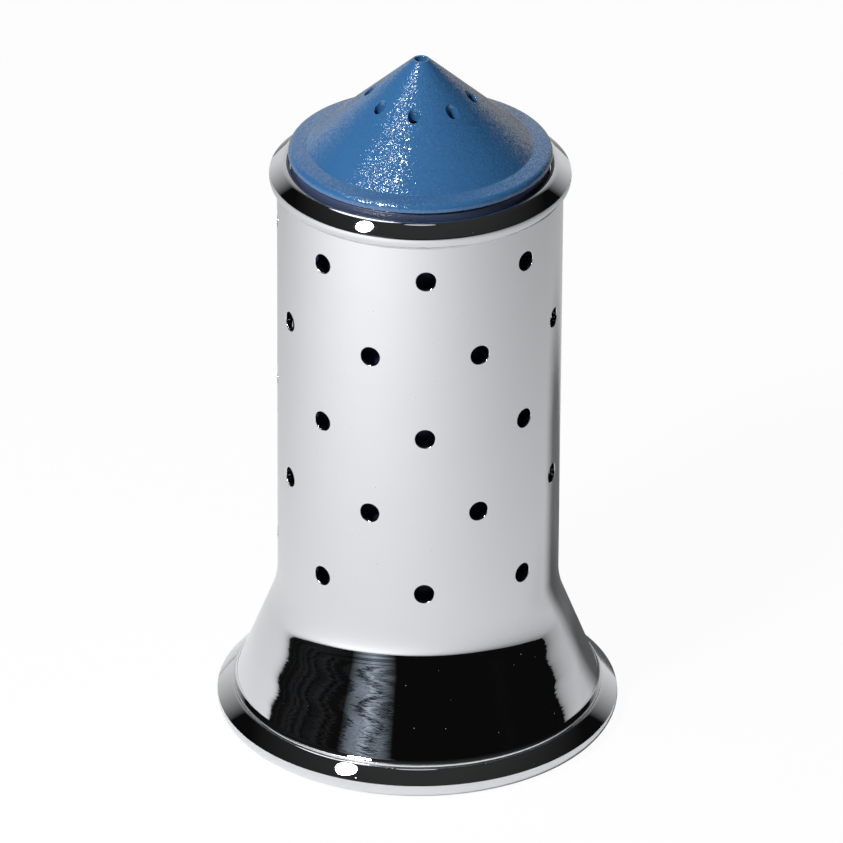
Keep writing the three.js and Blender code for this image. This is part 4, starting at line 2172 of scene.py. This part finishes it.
    def high_glow(self, graph: Graph) -> Socket:
        """Return the brightness of the light high up behind, and none outside it.

        Args:
            graph: The material of the room.

        Returns:
            The brightness.
        """
        near = graph.along(toward(self.high_turn, self.high_elevation))
        reach = self.reach(tuple(math.cos(math.radians(angle)) for angle in self.high_reach))
        return graph.remap(near, reach, (0.0, self.high_light))

    def build_room(self) -> None:
        """Make the dark room, its pale wall behind and its dim panels, which only reflections see."""
        lifts = np.linspace(-math.pi / 2.0, math.pi / 2.0, self.room_rows + 1)[1:-1]
        room = self.grid("room", self.room_radius * directions(lifts), self.room_columns)
        for kind in ("camera", "diffuse", "transmission", "volume_scatter", "shadow"):
            setattr(room, f"visible_{kind}", False)
        graph = Graph(bpy.data.materials.new("room_walls"))
        wall_range = (self.room_light, self.wall_light)
        wall = graph.remap(graph.along((0.0, 1.0, 0.0)), self.reach(self.wall_reach), wall_range)
        ceiling_range = (0.0, self.ceiling_light)
        ceiling = graph.remap(graph.upward, self.reach(self.ceiling_reach), ceiling_range)
        streaks = graph.noise(self.panel_grain, detail=3.0)
        dim = self.panel_glow(graph, self.panels[0])
        for panel in self.panels[1:]:
            dim = graph.math("ADD", dim, self.panel_glow(graph, panel))
        shades = graph.remap(streaks, self.panel_streaks, self.panel_shades)
        light = graph.math("MULTIPLY", dim, shades)
        for other in (wall, ceiling, self.high_glow(graph)):
            light = graph.math("MAXIMUM", light, other)
        colour = graph.blend(graph.remap(dim, self.panel_tint), WHITE, self.panel_colour)
        graph.finish(graph.emission(colour, light))
        room.data.materials.append(graph.owner)

    def build(self) -> None:
        """Make the background, the table, the room and the lamps."""
        self.build_world()
        self.build_table()
        self.build_room()
        for lamp in self.lamps:
            lamp.build()


@dataclass(frozen=True)
class LongLensCamera:
    """The camera at the photograph's viewing angle.

    Attributes:
        distance: Distance to the point that it aims at.
        elevation: Angle that it looks down by, in degrees.
        roll: Clockwise turn of the picture, in degrees.
        lens: Focal length in millimetres.
        sensor: Width of the sensor in millimetres.
        aim: Point in the middle of the picture.
    """

    distance: float = 1.5196
    elevation: float = 28.2549
    roll: float = 0.3461
    lens: float = 427.05
    sensor: float = 36.0
    aim: Triple = (0.0004, 0.0, 0.04858)

    def build(self) -> None:
        """Place the camera and make it the scene's."""
        lift, roll = math.radians(self.elevation), math.radians(self.roll)
        right = np.array([1.0, 0.0, 0.0])
        back = np.array([0.0, -math.cos(lift), math.sin(lift)])
        up = np.cross(back, right)
        across = math.cos(roll) * right + math.sin(roll) * up
        above = math.cos(roll) * up - math.sin(roll) * right
        data = bpy.data.cameras.new("long_lens")
        data.sensor_width = self.sensor
        data.lens = self.lens
        camera = linked("long_lens", data)
        place = np.array(self.aim) + self.distance * back
        camera.matrix_world = placing((across, above, back), place)
        bpy.context.scene.camera = camera


def main() -> None:
    """Build and dress every piece, then set the studio and the camera."""
    logging.basicConfig(level=logging.INFO, format="%(name)s: %(message)s")
    bpy.context.scene.view_settings.view_transform = "Standard"
    sleeve = Sleeve()
    rim, foot = RimRing(sleeve), FootRing(sleeve)
    container = SaltContainer(rim)
    cap = SieveCap(container)
    blue_light, blue_dark = (0.036, 0.134, 0.31), (0.032, 0.12, 0.28)
    # The blue in the black plastic's two shades is painted bounce light from the blue cap, laid over the
    # plastic's own near-black colour.
    blue_bounce_black_light, blue_bounce_black_dark = (0.04, 0.055, 0.11), (0.03, 0.042, 0.084)
    finishes = {
        Slot.POLISHED_STEEL: PolishedSteel(),
        Slot.BLUE_PLASTIC: GrainedPlastic(blue_light, blue_dark, (0.07, 0.11), 0.15, 0.009, 0.15, 1.0),
        Slot.BLACK_PLASTIC: GrainedPlastic(blue_bounce_black_light, blue_bounce_black_dark, (0.25, 0.4), 0.14, 0.012, 0.04, 0.5),
        Slot.PLATED_STEEL: TurnedMetal((0.55, 0.56, 0.57), (0.42, 0.43, 0.44), (0.3, 0.42)),
        Slot.INSERT_BRASS: TurnedMetal((0.55, 0.36, 0.12), (0.42, 0.26, 0.08), (0.3, 0.42)),
        Slot.SEAL_RUBBER: SoftRubber(),
    }
    materials = {slot: finish.material(slot.value) for slot, finish in finishes.items()}
    below = (BasePlate(foot), BaseScrew(), ScrewWasher(), ThreadedInsert())
    for piece in (sleeve, rim, foot, container, cap, CapSeal(cap), *below):
        piece.dress(piece.build(), materials[piece.slot])
    Studio().build()
    LongLensCamera().build()


if __name__ == "__main__":
    main()
